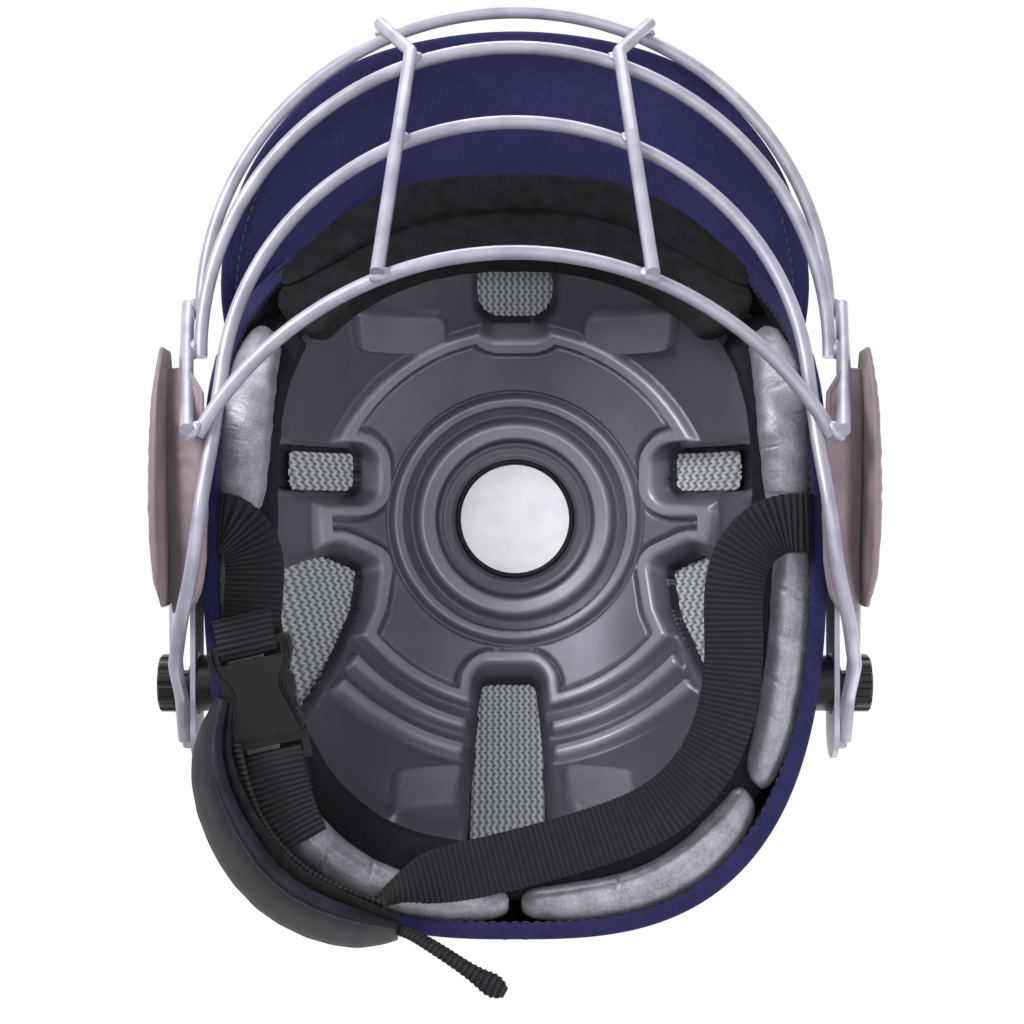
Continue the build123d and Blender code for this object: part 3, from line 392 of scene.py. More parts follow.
def splineThrough(points, count):
    # points and their further columns, spaced evenly along the line through them
    points = np.array(points, float)
    chord = lengthsAlong(points[:, :3])
    at = np.linspace(0, chord[-1], count)
    return np.stack([naturalSpline(chord, column, at) for column in points.T], -1)


def smooth(edge0, edge1, x):
    t = np.clip((x - edge0) / (edge1 - edge0), 0, 1)
    return t * t * (3 - 2 * t)


def ringOf(count, shift=0.5):
    # angles of points round a ring
    return (np.arange(count) + shift) * 2 * np.pi / count


def roundedSquare(count, square):
    # points of a rounded square of half side one
    c, s = np.cos(ringOf(count)), np.sin(ringOf(count))
    return np.sign(c) * np.abs(c) ** (2 / square), np.sign(s) * np.abs(s) ** (2 / square)


def halving(low, high, isPast):
    # value between low and high from which isPast holds
    for _ in range(34):
        half = (low + high) / 2
        past = isPast(half)
        high = np.where(past, half, high)
        low = np.where(past, low, half)
    return (low + high) / 2


rows = np.array(dome["rows"])
rises = np.diff(rows[:, 0]) * np.where(rows[1:, 0] <= 0, lowerHeight, upperHeight)
rowPlaces = np.concatenate([[0], np.cumsum(np.hypot(rises, np.diff(rows[:, 1]) * dome["halfWidth"]))])
rowPlaces /= rowPlaces[-1]
widestLevel = rowPlaces[2]


def domeAt(angle, level, inset=0.0, napeInset=0.0):
    # point of the dome: angle about the crown's axis from the left towards the rear, level 0 at the form's floor
    # and 1 at the crown
    angle, level, inset, napeInset = np.broadcast_arrays(angle, level, inset, napeInset)
    height, width, square = [naturalSpline(rowPlaces, column, level) for column in rows.T]
    width = np.maximum(width, 1e-5)
    c, s = np.cos(angle), np.sin(angle)
    a = (dome["halfWidth"] - inset) * width
    b = (np.where(s > 0, dome["rearLength"] - napeInset, dome["frontLength"]) - inset) * width
    radius = ((np.abs(c) / a) ** square + (np.abs(s) / b) ** square) ** (-1 / square)
    z = dome["widestHeight"] + height * np.where(height < 0, lowerHeight, upperHeight - inset)
    return np.stack([radius * c, radius * s, z], -1)


def planRadius(spots):
    return np.hypot(spots[..., 0], spots[..., 1])


def edgeHeight(y, earRaise=0.0, browRaise=0.0):
    # the shell's edge rises from the ears to the brow
    share = np.clip((dome["riseStart"] - y) / (dome["riseStart"] - dome["riseEnd"]), 0, 1)
    share = (1 - np.cos(np.pi * share)) / 2
    return (dome["earHeight"] + earRaise) * (1 - share) + (dome["browHeight"] + browRaise) * share


def levelAtEdge(angle, inset=0.0, earRaise=0.0, browRaise=0.0, napeInset=0.0):
    # level at which the dome crosses a line raised above the shell's edge
    def isPast(level):
        spots = domeAt(angle, level, inset, napeInset)
        return spots[..., 2] > edgeHeight(spots[..., 1], earRaise, browRaise)
    return halving(0.0, 0.95, isPast)


def onEdge(angle, inset, earRaise, browRaise, napeInset=0.0):
    return domeAt(angle, levelAtEdge(angle, inset, earRaise, browRaise, napeInset), inset, napeInset)


def domeNormal(angle, level):
    step = 0.002
    around = domeAt(angle + step, level) - domeAt(angle - step, level)
    upwards = domeAt(angle, level + step) - domeAt(angle, level - step)
    return unit(np.cross(around, upwards))


def toWorld(points):
    # millimetres about the crown's axis to metres in the frame
    return (np.asarray(points, float) + [0, crownY, 0]) * mm


def newPiece(name, mesh):
    piece = bpy.data.objects.new(name, mesh)
    bpy.context.scene.collection.objects.link(piece)
    for polygon in mesh.polygons:
        polygon.use_smooth = True
    return piece


def pieceFromForm(name, form):
    bmesh.ops.recalc_face_normals(form, faces=form.faces)
    mesh = bpy.data.meshes.new(name)
    form.to_mesh(mesh)
    form.free()
    return newPiece(name, mesh)


def meshFromGrid(name, grid, closedAround=True, closedAlong=False, pole=None, flip=False, uv=None):
    # quads over a grid of points in millimetres, closed with a fan to the pole where one is given
    along, around = grid.shape[:2]
    vertices = toWorld(grid.reshape(-1, 3)).tolist()
    faces = []
    for i in range(along if closedAlong else along - 1):
        for j in range(around if closedAround else around - 1):
            here, ahead = i * around, (i + 1) % along * around
            faces.append((here + j, here + (j + 1) % around, ahead + (j + 1) % around, ahead + j))
    if pole is not None:
        last, top = (along - 1) * around, len(vertices)
        vertices.append(toWorld(pole).tolist())
        faces.extend((last + j, last + (j + 1) % around, top) for j in range(around))
    if flip:
        faces = [face[::-1] for face in faces]
    mesh = bpy.data.meshes.new(name)
    mesh.from_pydata(vertices, [], faces)
    mesh.update()
    if uv is not None:
        layer = mesh.uv_layers.new(name="strip")
        flat = uv.reshape(-1, 2)
        for loop in mesh.loops:
            layer.data[loop.index].uv = flat[loop.vertex_index]
    return newPiece(name, mesh)


def outwards(piece):
    # faces point outwards
    bpy.ops.object.select_all(action="DESELECT")
    piece.select_set(True)
    bpy.context.view_layer.objects.active = piece
    bpy.ops.object.mode_set(mode="EDIT")
    bpy.ops.mesh.select_all(action="SELECT")
    bpy.ops.mesh.normals_make_consistent(inside=False)
    bpy.ops.object.mode_set(mode="OBJECT")


def gridPiece(name, grid, **more):
    piece = meshFromGrid(name, grid, **more)
    outwards(piece)
    return piece


def capped(name, grid, **more):
    # tube over sections that are rings of points, closed at both ends
    piece = meshFromGrid(name, grid, **more)
    count, around = grid.shape[:2]
    form = bmesh.new()
    form.from_mesh(piece.data)
    form.verts.ensure_lookup_table()
    for first in (0, (count - 1) * around):
        form.faces.new([form.verts[first + k] for k in range(around)]).smooth = True
    form.to_mesh(piece.data)
    form.free()
    outwards(piece)
    return piece


def sweep(line, across, up, u, v):
    # rings of points along a line: u runs across it and v upwards
    across, up = np.broadcast_to(across, line.shape), np.broadcast_to(up, line.shape)
    return line[:, None, :] + across[:, None, :] * u[..., None] + up[:, None, :] * v[..., None]


def setAttribute(piece, name, values):
    piece.data.attributes.new(name, "FLOAT", "POINT").data.foreach_set("value", values.astype(np.float32))


def finishPiece(piece, slotName, body, replaced=(), look=None):
    # material of a piece, from its slot unless a look is given, its body, and the nodes that it stands in for, which
    # are hidden
    piece.data.materials.clear()
    piece.data.materials.append(materials[look or slotName])
    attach(piece, body)
    if replaced:
        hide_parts(*replaced)
    return piece


# cloth of the crown: six panels with felled seams that meet at the button
crown = {
    "panels": 6, "seamWidth": 1.6, "seamDepth": 0.32, "welt": 0.25, "weltAt": 3.4, "weltWidth": 1.3,
    "wall": 0.75, "proud": 0.8, "lip": 0.35, "levels": 90, "crowding": 0.9, "topLevel": 0.985, "between": 26,
    "besideSeam": [-6, -4, -2.6, -1.6, -0.8, 0, 0.8, 1.6, 2.6, 4, 6],
}
seamAngles = np.pi / 6 + ringOf(crown["panels"], 0)
beside = np.array(crown["besideSeam"]) / dome["halfWidth"]
gap = 2 * np.pi / crown["panels"] - 2 * beside[-1]
panel = np.concatenate([beside, beside[-1] + gap * np.arange(1, crown["between"]) / crown["between"]])
angles = (seamAngles[:, None] + panel).reshape(-1)
edge = levelAtEdge(angles)
share = np.linspace(0, 1, crown["levels"])[:, None] ** crown["crowding"]
levels = edge + (crown["topLevel"] - edge) * share
offSeam = np.min(np.abs((angles[:, None] - seamAngles + np.pi) % (2 * np.pi) - np.pi), axis=1)
apart = offSeam * planRadius(domeAt(angles, levels))
sunk = crown["seamDepth"] * np.exp(-(apart / crown["seamWidth"]) ** 2)
welt = crown["welt"] * np.exp(-((apart - crown["weltAt"]) / crown["weltWidth"]) ** 2)
outer = domeAt(angles, levels, sunk - welt - crown["proud"])
lip = domeAt(angles, edge, np.array([[crown["wall"]], [crown["wall"] * 0.5]]))
lip[1, :, 2] -= crown["lip"]
piece = gridPiece("crownCloth", np.concatenate([lip, outer]), pole=(0, 0, dome["crownHeight"]))
finishPiece(piece, "navy_cloth", "helmet", ["crown_cloth"])

# stitching: short threads, each an arch that dips into the cloth at its ends
stitch = {
    "side": 3.2, "length": 2.6, "pitch": 3.8, "radius": 0.28, "lift": 0.16, "above": 0.2, "around": 6,
    "arch": [-0.2, 0.8, 1.0, 0.8, -0.2], "taper": [0.55, 1, 1, 1, 0.55],
}


def stitchLine(name, points, normals):
    # stitches along a line of points
    steps = lengthsAlong(points)
    turns = ringOf(stitch["around"], 0)[:, None]
    form = bmesh.new()
    for start in np.arange(stitch["pitch"] / 2, steps[-1] - stitch["length"], stitch["pitch"]):
        along = start + np.linspace(0, stitch["length"], len(stitch["arch"]))
        core, out = [
            np.stack([np.interp(along, steps, column) for column in line.T], -1) for line in (points, normals)
        ]
        core = core + out * np.array(stitch["arch"])[:, None] * stitch["lift"]
        side = np.cross(unit(core[-1] - core[0]), out[2])
        rings = []
        for spot, normal, thin in zip(core, out, stitch["taper"]):
            ring = spot + (side * np.cos(turns) + normal * np.sin(turns)) * stitch["radius"] * thin
            rings.append([form.verts.new(p) for p in toWorld(ring)])
        for a, b in zip(rings, rings[1:]):
            for k in range(stitch["around"]):
                after = (k + 1) % stitch["around"]
                form.faces.new((a[k], a[after], b[after], b[k]))
        form.faces.new(rings[0])
        form.faces.new(rings[-1])
    finishPiece(pieceFromForm(name, form), "navy_cloth", "helmet", look="thread")


# a line of stitches on both sides of every seam, from above the edge to the button
seamLine = {"fromEdge": 0.02, "topLevel": 0.93, "points": 160}
for number, (seam, low) in enumerate(zip(seamAngles, levelAtEdge(seamAngles) + seamLine["fromEdge"])):
    lineLevels = np.linspace(low, seamLine["topLevel"], seamLine["points"])
    offset = stitch["side"] / planRadius(domeAt(seam, lineLevels))
    for side, letter in ((-1, "a"), (1, "b")):
        lineAngles = seam + side * offset
        line = domeAt(lineAngles, lineLevels, -stitch["above"] - crown["proud"])
        stitchLine(f"seamStitch{number}{letter}", line, domeNormal(lineAngles, lineLevels))
print("crown cloth is made")

# cloth of the peak, over and under, with a rolled front edge
peak = {
    "halfWidth": 110.8, "reach": 186.8, "rootHeight": 131.0, "radius": 178.0, "fall": 0.12, "front": 134.0,
    "shares": [
        (0.0, 1.0), (0.33, 0.975), (0.58, 0.915), (0.765, 0.812), (0.88, 0.71), (0.955, 0.59), (0.985, 0.45),
        (0.93, 0.258),
    ],
    "half": 2.2, "columns": 200, "rows": 44, "bendRows": 9, "rootInset": 1.4,
    "rollShare": 0.9, "leastReach": 0.4, "stitchBack": 7.0, "stitchDeep": 0.1, "pucker": 0.35, "puckerWidth": 1.2,
}
leftHalf = [(a * peak["halfWidth"], -b * peak["reach"]) for a, b in peak["shares"]]
outline = splineThrough([(-x, y) for x, y in reversed(leftHalf[1:])] + leftHalf, peak["columns"])
turn = np.arctan2(outline[:, 1], outline[:, 0])


def peakRow(radius, off):
    # points above the peak's middle face by this much, at one plan radius in each direction
    x, y = radius * np.cos(turn), radius * np.sin(turn)
    axisHeight = peak["rootHeight"] - peak["radius"] + peak["fall"] * (y + peak["front"])
    return np.stack([x, y, axisHeight + np.sqrt((peak["radius"] + off) ** 2 - x ** 2)], -1)


def domeRadius(height, inset):
    # plan radius of the dome at this height
    level = halving(0.0, 0.999, lambda half: domeAt(turn, half, inset)[..., 2] > height)
    return planRadius(domeAt(turn, level, inset))


# where the peak meets the dome, found by a few rounds from a first guess
innerRadius = np.full_like(turn, 120.0)
for _ in range(8):
    innerRadius = domeRadius(peakRow(innerRadius, 0.0)[:, 2], peak["rootInset"])
outerRadius = np.maximum(planRadius(outline), innerRadius + peak["leastReach"])
roll = peak["half"] * peak["rollShare"]
peakRows = []
across = np.linspace(0, 1, peak["rows"])
for side, run in ((1, across), (-1, across[::-1])):
    for t in run:
        radius = innerRadius + (outerRadius - innerRadius - roll) * t
        fromStitch = outerRadius - radius - peak["stitchBack"]
        pucker = peak["pucker"] * np.exp(-(fromStitch / peak["puckerWidth"]) ** 2)
        peakRows.append(peakRow(radius, side * (peak["half"] - pucker)))
    if side == 1:
        for bend in np.linspace(0, np.pi, peak["bendRows"])[1:-1]:
            peakRows.append(peakRow(outerRadius - roll + roll * np.sin(bend), peak["half"] * np.cos(bend)))
piece = gridPiece("peakCloth", np.array(peakRows), closedAround=False, closedAlong=True)
finishPiece(piece, "navy_cloth", "helmet", ["peak_cloth"])
for side, face in ((1, "Over"), (-1, "Under")):
    line = peakRow(outerRadius - peak["stitchBack"], side * (peak["half"] - peak["stitchDeep"]))[6:-6]
    normals = np.stack([line[:, 0] / peak["radius"], 0 * turn[6:-6], 1 + 0 * turn[6:-6]], -1) * side
    stitchLine("peakStitch" + face, line, normals)
print("peak cloth is made")


def ripple(angle, turn, seed, cells):
    # smooth made-up wrinkles from a few sine waves, the same at every run
    pick = np.random.default_rng(seed)
    total = 0
    for _ in range(cells):
        beats, shift, rounds = pick.uniform(18, 95), pick.uniform(0, 6.3), pick.integers(0, 3)
        bend, bendBeats = pick.uniform(0.3, 1.1), pick.uniform(4, 22)
        wave = np.sin(angle * beats + shift + turn * rounds + bend * np.sin(turn + angle * bendBeats))
        total = total + math.sqrt(1 / cells) * wave
    return total


def endRounding(count, length, radius, least=0.0):
    # share of a roll's size near its rounded ends, and the way to the nearer end
    gap = np.minimum(np.arange(count), np.arange(count)[::-1]) * length / (count - 1)
    return np.sqrt(np.clip(1 - (1 - np.clip(gap / radius, 0, 1)) ** 2, least, 1)), gap


# binding folded round the shell's edge, with its stitching
binding = {
    "columns": 360, "past": 0.8, "around": 20, "square": 3.2, "inset": 2.0, "half": 2.95,
    "raise": 1.4, "halfHeight": 2.25, "stitchRaise": 3.0,
}
c, s = roundedSquare(binding["around"], binding["square"])
run = np.linspace(-binding["past"], np.pi + binding["past"], binding["columns"])
lift = (binding["raise"] + binding["halfHeight"] * s)[None, :]
piece = capped("rimBinding", onEdge(run[:, None], binding["inset"] + binding["half"] * c, lift, lift))
finishPiece(piece, "navy_cloth", "helmet", ["rim_binding"])
line = onEdge(run, binding["inset"] + binding["half"], binding["stitchRaise"], binding["stitchRaise"])
stitchLine("bindingStitch", line, unit(line * [-1, -1, 0]))

# the felt of the brow is turned under the front edge of the shell
turnedUnder = {
    "columns": 220, "past": 0.79, "endColumns": 26, "inset": 5.4, "half": 6.6, "raise": 0.6, "halfHeight": 2.6,
}
run = np.linspace(-turnedUnder["past"], -np.pi + turnedUnder["past"], turnedUnder["columns"])
taper = endRounding(turnedUnder["columns"], turnedUnder["columns"] - 1, turnedUnder["endColumns"], 0.01)[0][:, None]
lift = turnedUnder["raise"] + turnedUnder["halfHeight"] * s * taper
piece = capped("browEdge", onEdge(run[:, None], turnedUnder["inset"] + turnedUnder["half"] * c * taper, lift, lift))
finishPiece(piece, "black_felt", "helmet")

# padded bands along the inside of the shell: low and high are the raises above its edge at the ears and at the brow
probe = np.linspace(-np.pi / 2, np.pi / 2, 721)
browPlace = {"y": -73.5, "inset": 14.0, "raise": 10.0}
browLine = onEdge(probe, browPlace["inset"], browPlace["raise"], browPlace["raise"])
browEnd = probe[np.argmin(np.abs(browLine[:, 1] - browPlace["y"]))]
bandForm = {"around": 48, "radius": 115.0, "endInset": 0.25, "endHeight": 0.3}
bands = {
    "foamBand": {
        "run": (browEnd + 0.004, np.pi - browEnd - 0.004), "columns": 300, "inset": 14.3, "half": 9.9,
        "nape": 7.0, "low": (17.6, 17.6), "high": (38.2, 18.4), "square": 5.0, "endRound": 3.0,
        "wrinkle": 0.0125, "seed": 3, "slot": "black_foam", "node": "foam_band",
    },
    "browPad": {
        "run": (browEnd - 0.004, -np.pi - browEnd + 0.004), "columns": 220, "inset": 17.8, "half": 13.4,
        "nape": 0.0, "low": (1.2, 1.2), "high": (38.0, 17.9), "square": 4.2, "endRound": 9.0,
        "wrinkle": 0.006, "seed": 8, "slot": "black_felt", "node": "brow_pad",
    },
}
for bandName, band in bands.items():
    angle = np.linspace(*band["run"], band["columns"])[:, None]
    length = np.abs(band["run"][1] - band["run"][0]) * bandForm["radius"]
    close = endRounding(band["columns"], length, band["endRound"])[0][:, None]
    c, s = roundedSquare(bandForm["around"], band["square"])
    puff = 1 + band["wrinkle"] * ripple(angle, ringOf(bandForm["around"]), band["seed"], 9)
    wide, tall = [bandForm[end] + (1 - bandForm[end]) * close for end in ("endInset", "endHeight")]
    insets = band["inset"] + band["half"] * c * wide * puff
    share = 0.5 + 0.5 * s * tall * puff
    ear, brow = [low + (high - low) * share for low, high in zip(band["low"], band["high"])]
    piece = capped(bandName, onEdge(angle, insets, ear, brow, band["nape"]))
    finishPiece(piece, band["slot"], "helmet", [band["node"]])
print("bands are made")

# rim pads: rolls of coated fabric; ends gives the share of the size at seven places from front to rear
pads = {
    "inset": 4.2, "raise": 7.9, "lineRaise": 7.6, "halfHeight": 7.4, "columns": 190, "around": 44, "square": 2.15,
    "radius": 112, "endRound": 5.0, "endSize": 0.35, "swell": 1.03,
    "fold": 0.022, "folds": 14, "gatherReach": 14.0, "steepen": 0.6,
    "pinch": 0.05, "pinches": 7, "pinchFrom": 0.9, "pinchAlong": 1.7, "pinchRound": 0.6,
}
padRuns = {
    "temple": {"run": (-0.66, -0.018), "half": 8.6, "ends": [0.62, 0.92, 1.06, 1.1, 1.04, 0.95, 0.7]},
    "side": {"run": (0.03, 0.835), "half": 7.0, "ends": [0.66, 0.93, 1.0, 1.0, 1.0, 0.93, 0.66]},
    "nape": {"run": (0.865, 1.555), "half": 7.0, "ends": [0.66, 0.93, 1.0, 1.0, 1.0, 0.93, 0.66]},
}
c, s = roundedSquare(pads["around"], pads["square"])
turn = ringOf(pads["around"])
padSeed = 20
for padName, pad in padRuns.items():
    first, last = pad["run"]
    angle = np.linspace(first, last, pads["columns"])
    close, gap = endRounding(pads["columns"], abs(last - first) * pads["radius"], pads["endRound"])
    size = naturalSpline(np.linspace(0, 1, len(pad["ends"])), pad["ends"], np.linspace(0, 1, pads["columns"]))
    rounded = pads["endSize"] + (1 - pads["endSize"]) * close
    size = (np.clip(size, 0.3, 1.12) * rounded * pads["swell"])[:, None]
    inset = pad["half"] + pads["inset"]
    climb = np.gradient(onEdge(angle, inset, pads["lineRaise"], pads["lineRaise"]), axis=0)
    slope = climb[:, 2] / np.maximum(planRadius(climb), 1e-6)
    tall = pads["halfHeight"] * np.sqrt(1 + pads["steepen"] * slope ** 2)[:, None]
    # gathered creases run across the roll, deepest near both of its ends
    gather = 0.5 + 0.5 * np.exp(-gap / pads["gatherReach"])[:, None]
    for side, sign in (("left", 1), ("right", -1)):
        padSeed += 1
        folds = ripple(angle[:, None], turn, padSeed, pads["folds"]) * pads["fold"] * gather
        pinched = ripple(angle[:, None] * pads["pinchAlong"], pads["pinchRound"] * turn, padSeed + 50, pads["pinches"])
        pinch = -pads["pinch"] * np.clip(pinched - pads["pinchFrom"], 0, 1)
        puff = 1 + folds + pinch
        lifted = pads["raise"] + tall * s * size * puff
        grid = onEdge(angle[:, None], inset + pad["half"] * c * size * puff, lifted, lifted)
        piece = capped(f"{padName}Pad{side.capitalize()}", grid * [sign, 1, 1])
        finishPiece(piece, "silver_vinyl", "helmet", [f"{padName}_pad_{side}"])
print("rim pads are made")

# moulded liner: a grid over the dome whose depth follows the raised rings, ribs, panels and vents
liner = {
    "columns": 440, "rows": 200, "base": 22.9, "ridge": 27.1, "floorOfVent": 15.0, "nape": 7.0,
    "earRaise": 38.4, "browRaise": 18.4, "seatRadius": 31.0, "seatHeight": 183.6,
    "seat": [(30.8, 1.2), (29.8, 0.2), (28.6, 0.0), (27, 0.0), (25.4, 0.0), (24.9, 0.5), (18, 0.6), (9, 0.6)],
    "rings": [(33.0, 41.0, 1.0, 1.9), (46.5, 51.0, 0.85, 1.1)], "bigRing": (0.5, 5.0, 0.95),
    "napeRibs": [(84.0, 88.0), (93.0, 97.0)], "napeRibsFrom": (27, 33), "ribSoft": 1.1,
    "valleys": [(43.7, 1.7), (80.9, 2.0)], "valleyDepth": 0.4, "creaseDepth": 0.5, "creaseWidth": 0.6,
    "fieldRadius": 73.3, "fieldStart": (52.2, 54.0), "fieldEnd": (0.2, 1.3), "fieldRise": 0.62,
    "inFieldFrom": (50.6, 51.8), "inFieldTo": (4.1, 6.0),
    "ventMargin": 9.6, "beadRise": (-0.45, 1.45), "ventClear": (3.4, 5.0), "ventShoulder": (-1.5, 6.4),
    "ventFall": 0.75, "ventRise": 1.95, "blockRise": 0.7, "blockSoft": 0.9,
    "ventWall": (0.05, -0.5), "edgeRoll": 3.0, "edgeRollShare": 0.035,
    "blocks": [
        (-33.0, 104, 13, 6.5, 2.5), (33.0, 104, 13, 6.5, 2.5), (-45.0, -74, 17, 7.5, 3), (45.0, -74, 17, 7.5, 3),
    ],
    "lipInsets": [5.0, 8, 12, 16, 19.5], "lipRaises": [2.0, 0.6, 0.2, 0.1, 0.1],
}
# corners of each vent in plan, and the radius that rounds them
sideVent = [(60, -25.75), (87, -25.75), (87, -11.25), (60, -11.25)]
wingVent = [
    (87 * a, 73 * b)
    for a, b in [(0.7, 0.24), (0.82, 0.17), (1.0, 0.23), (1.01, 0.72), (0.93, 1.0), (0.83, 0.8), (0.7, 0.46)]
]
vents = {
    "front": ([(-15, -104), (15, -104), (15, -79), (-15, -79)], 8.5),
    "front_left": (sideVent, 4.5),
    "front_right": ([(-x, y) for x, y in sideVent], 4.5),
    "rear": ([(-11.5, 63), (6.5, 63), (11.5, 122), (-16.5, 122)], 4.5),
    "rear_left": (wingVent, 3.5),
    "rear_right": ([(-x, y) for x, y in wingVent], 3.5),
}


def polygonDistance(x, y, corners, radius):
    # signed distance to a polygon with rounded corners, negative inside
    corners = np.array(corners, float)
    corners = corners + unit(corners.mean(0) - corners) * radius * 1.3
    inside = np.zeros(x.shape, bool)
    nearest = np.full(x.shape, 1e9)
    for (ax, ay), (bx, by) in zip(corners, np.roll(corners, -1, axis=0)):
        ex, ey = bx - ax, by - ay
        t = np.clip(((x - ax) * ex + (y - ay) * ey) / (ex * ex + ey * ey), 0, 1)
        nearest = np.minimum(nearest, np.hypot(x - ax - t * ex, y - ay - t * ey))
        crossing = ax + (y - ay) * ex / (ey if abs(ey) >= 1e-9 else 1e-9)
        inside ^= ((ay > y) != (by > y)) & (x < crossing)
    return np.where(inside, -nearest, nearest) - radius


def boxDistance(x, y, cx, cy, halfX, halfY, radius):
    dx, dy = np.abs(x - cx) - halfX + radius, np.abs(y - cy) - halfY + radius
    return np.hypot(np.maximum(dx, 0), np.maximum(dy, 0)) + np.minimum(np.maximum(dx, dy), 0) - radius


def ridge(distance, inner, outer, soft):
    # rounded ridge between two distances
    return smooth(inner - soft, inner + soft, distance) * (1 - smooth(outer - soft, outer + soft, distance))


def ventGap(x, y):
    # distance to the nearest vent, negative inside it
    return np.min([polygonDistance(x, y, corners, corner) for corners, corner in vents.values()], axis=0)


def linerRelief(x, y):
    # how far the liner stands out towards the head, as a share of the ridge height
    radius = np.hypot(x, y)
    ventDistance = ventGap(x, y)
    # the middle field is a plateau inside the big ring, with one broad bead round each vent and a crease along both
    ringBound, ventBound = liner["fieldRadius"] - radius, ventDistance - liner["ventMargin"]
    bound = np.minimum(ringBound, ventBound)
    relief = liner["fieldRise"] * smooth(*liner["fieldStart"], radius) * smooth(*liner["fieldEnd"], bound)
    relief = np.maximum(relief, ridge(-ringBound, *liner["bigRing"]))
    inField = smooth(*liner["inFieldFrom"], radius) * (1 - smooth(*liner["inFieldTo"], -ringBound))
    relief = np.maximum(relief, smooth(*liner["beadRise"], -ventBound) * inField)
    relief = relief - liner["creaseDepth"] * np.exp(-(bound / liner["creaseWidth"]) ** 2) * inField
    outside = smooth(*liner["ventClear"], ventDistance)
    for inner, outer, tall, soft in liner["rings"]:
        relief = np.maximum(relief, tall * ridge(radius, inner, outer, soft))
    for valley, wide in liner["valleys"]:
        relief = relief - liner["valleyDepth"] * np.exp(-((radius - valley) / wide) ** 2) * outside
    atNape = smooth(*liner["napeRibsFrom"], y) * outside
    for inner, outer in liner["napeRibs"]:
        relief = np.maximum(relief, ridge(radius, inner, outer, liner["ribSoft"]) * atNape)
    for block in liner["blocks"]:
        covered = 1 - smooth(-liner["blockSoft"], liner["blockSoft"], boxDistance(x, y, *block))
        relief = np.maximum(relief, liner["blockRise"] * covered * outside)
    # everything falls away in a round shoulder towards a vent
    shoulder = smooth(*liner["ventShoulder"], ventDistance)
    return np.minimum(relief, -liner["ventFall"] + liner["ventRise"] * shoulder)


def levelAtPlan(angle, radius, inset):
    # level of the dome above its widest line with this plan radius
    def isPast(level):
        return planRadius(domeAt(angle, level, inset, liner["nape"])) <= radius
    return halving(widestLevel, 0.9999, isPast)


# rows are spaced evenly along the surface, from the edge to the rim of the seat
angle = ringOf(liner["columns"], 0)
edge = levelAtEdge(angle, liner["base"], liner["earRaise"], liner["browRaise"], liner["nape"])
rimLevel = levelAtPlan(angle, liner["seatRadius"], liner["base"])
share = np.linspace(0, 1, liner["rows"])[:, None]
levels = edge + (rimLevel - edge) * share
plan = domeAt(angle, levels, liner["base"], liner["nape"])
planX, planY = plan[..., 0], plan[..., 1]
# points close to the outline of a vent move onto it, so that its edge is crisp
ringStep = planRadius(plan) * 2 * np.pi / liner["columns"]
rowStep = np.abs(np.gradient(planRadius(plan), axis=0))
here, probe = ventGap(planX, planY), 0.05
gx = (ventGap(planX + probe, planY) - here) / probe
gy = (ventGap(planX, planY + probe) - here) / probe
toAxis = np.abs(gx * np.cos(angle) + gy * np.sin(angle))
alongRing = np.abs(gy * np.cos(angle) - gx * np.sin(angle))
near = np.abs(here) < 0.52 * (toAxis * rowStep + alongRing * ringStep)
near &= levels > widestLevel + 0.03
x, y = np.where(near, planX - here * gx, planX), np.where(near, planY - here * gy, planY)
moved = np.hypot(x - planX, y - planY) > 1e-6
angleGrid = np.where(moved, np.arctan2(y, x), angle)
levels = np.where(moved, levelAtPlan(angleGrid, np.hypot(x, y), liner["base"]), levels)
relief = linerRelief(x, y)
depth = liner["base"] + (liner["ridge"] - liner["base"]) * relief
depth = depth + (liner["floorOfVent"] - depth) * smooth(*liner["ventWall"], ventGap(x, y))
# the lower edge is rolled over
depth = depth - liner["edgeRoll"] * (1 - smooth(0.0, liner["edgeRollShare"], share)) ** 2
visible = domeAt(angleGrid, levels, depth, liner["nape"])
seatRows = [
    np.stack([r * np.cos(angle), r * np.sin(angle), 0 * angle + liner["seatHeight"] - drop + 0.3], -1)
    for r, drop in liner["seat"]
]
lipRaise = np.array(liner["lipRaises"])[:, None]
lipRows = onEdge(angle, np.array(liner["lipInsets"])[:, None], liner["earRaise"] + lipRaise,
                 liner["browRaise"] + lipRaise, liner["nape"])
piece = meshFromGrid("evaLiner", np.concatenate([lipRows, visible, seatRows]),
                     pole=(0, 0, liner["seatHeight"] - 0.3), flip=True)
# the material reads the relief for painted highlights on the ridges and painted shade in the grooves: 0.4 along the
# lip, 0.5 on the seat
height = [np.full(lipRows[..., 0].size, 0.4), ((relief + 0.75) / 1.8).reshape(-1),
          np.full(len(seatRows) * liner["columns"] + 1, 0.5)]
setAttribute(piece, "relief", np.concatenate(height))
finishPiece(piece, "grey_foam", "helmet", ["eva_liner"])
print("liner is made with", len(piece.data.polygons), "faces")

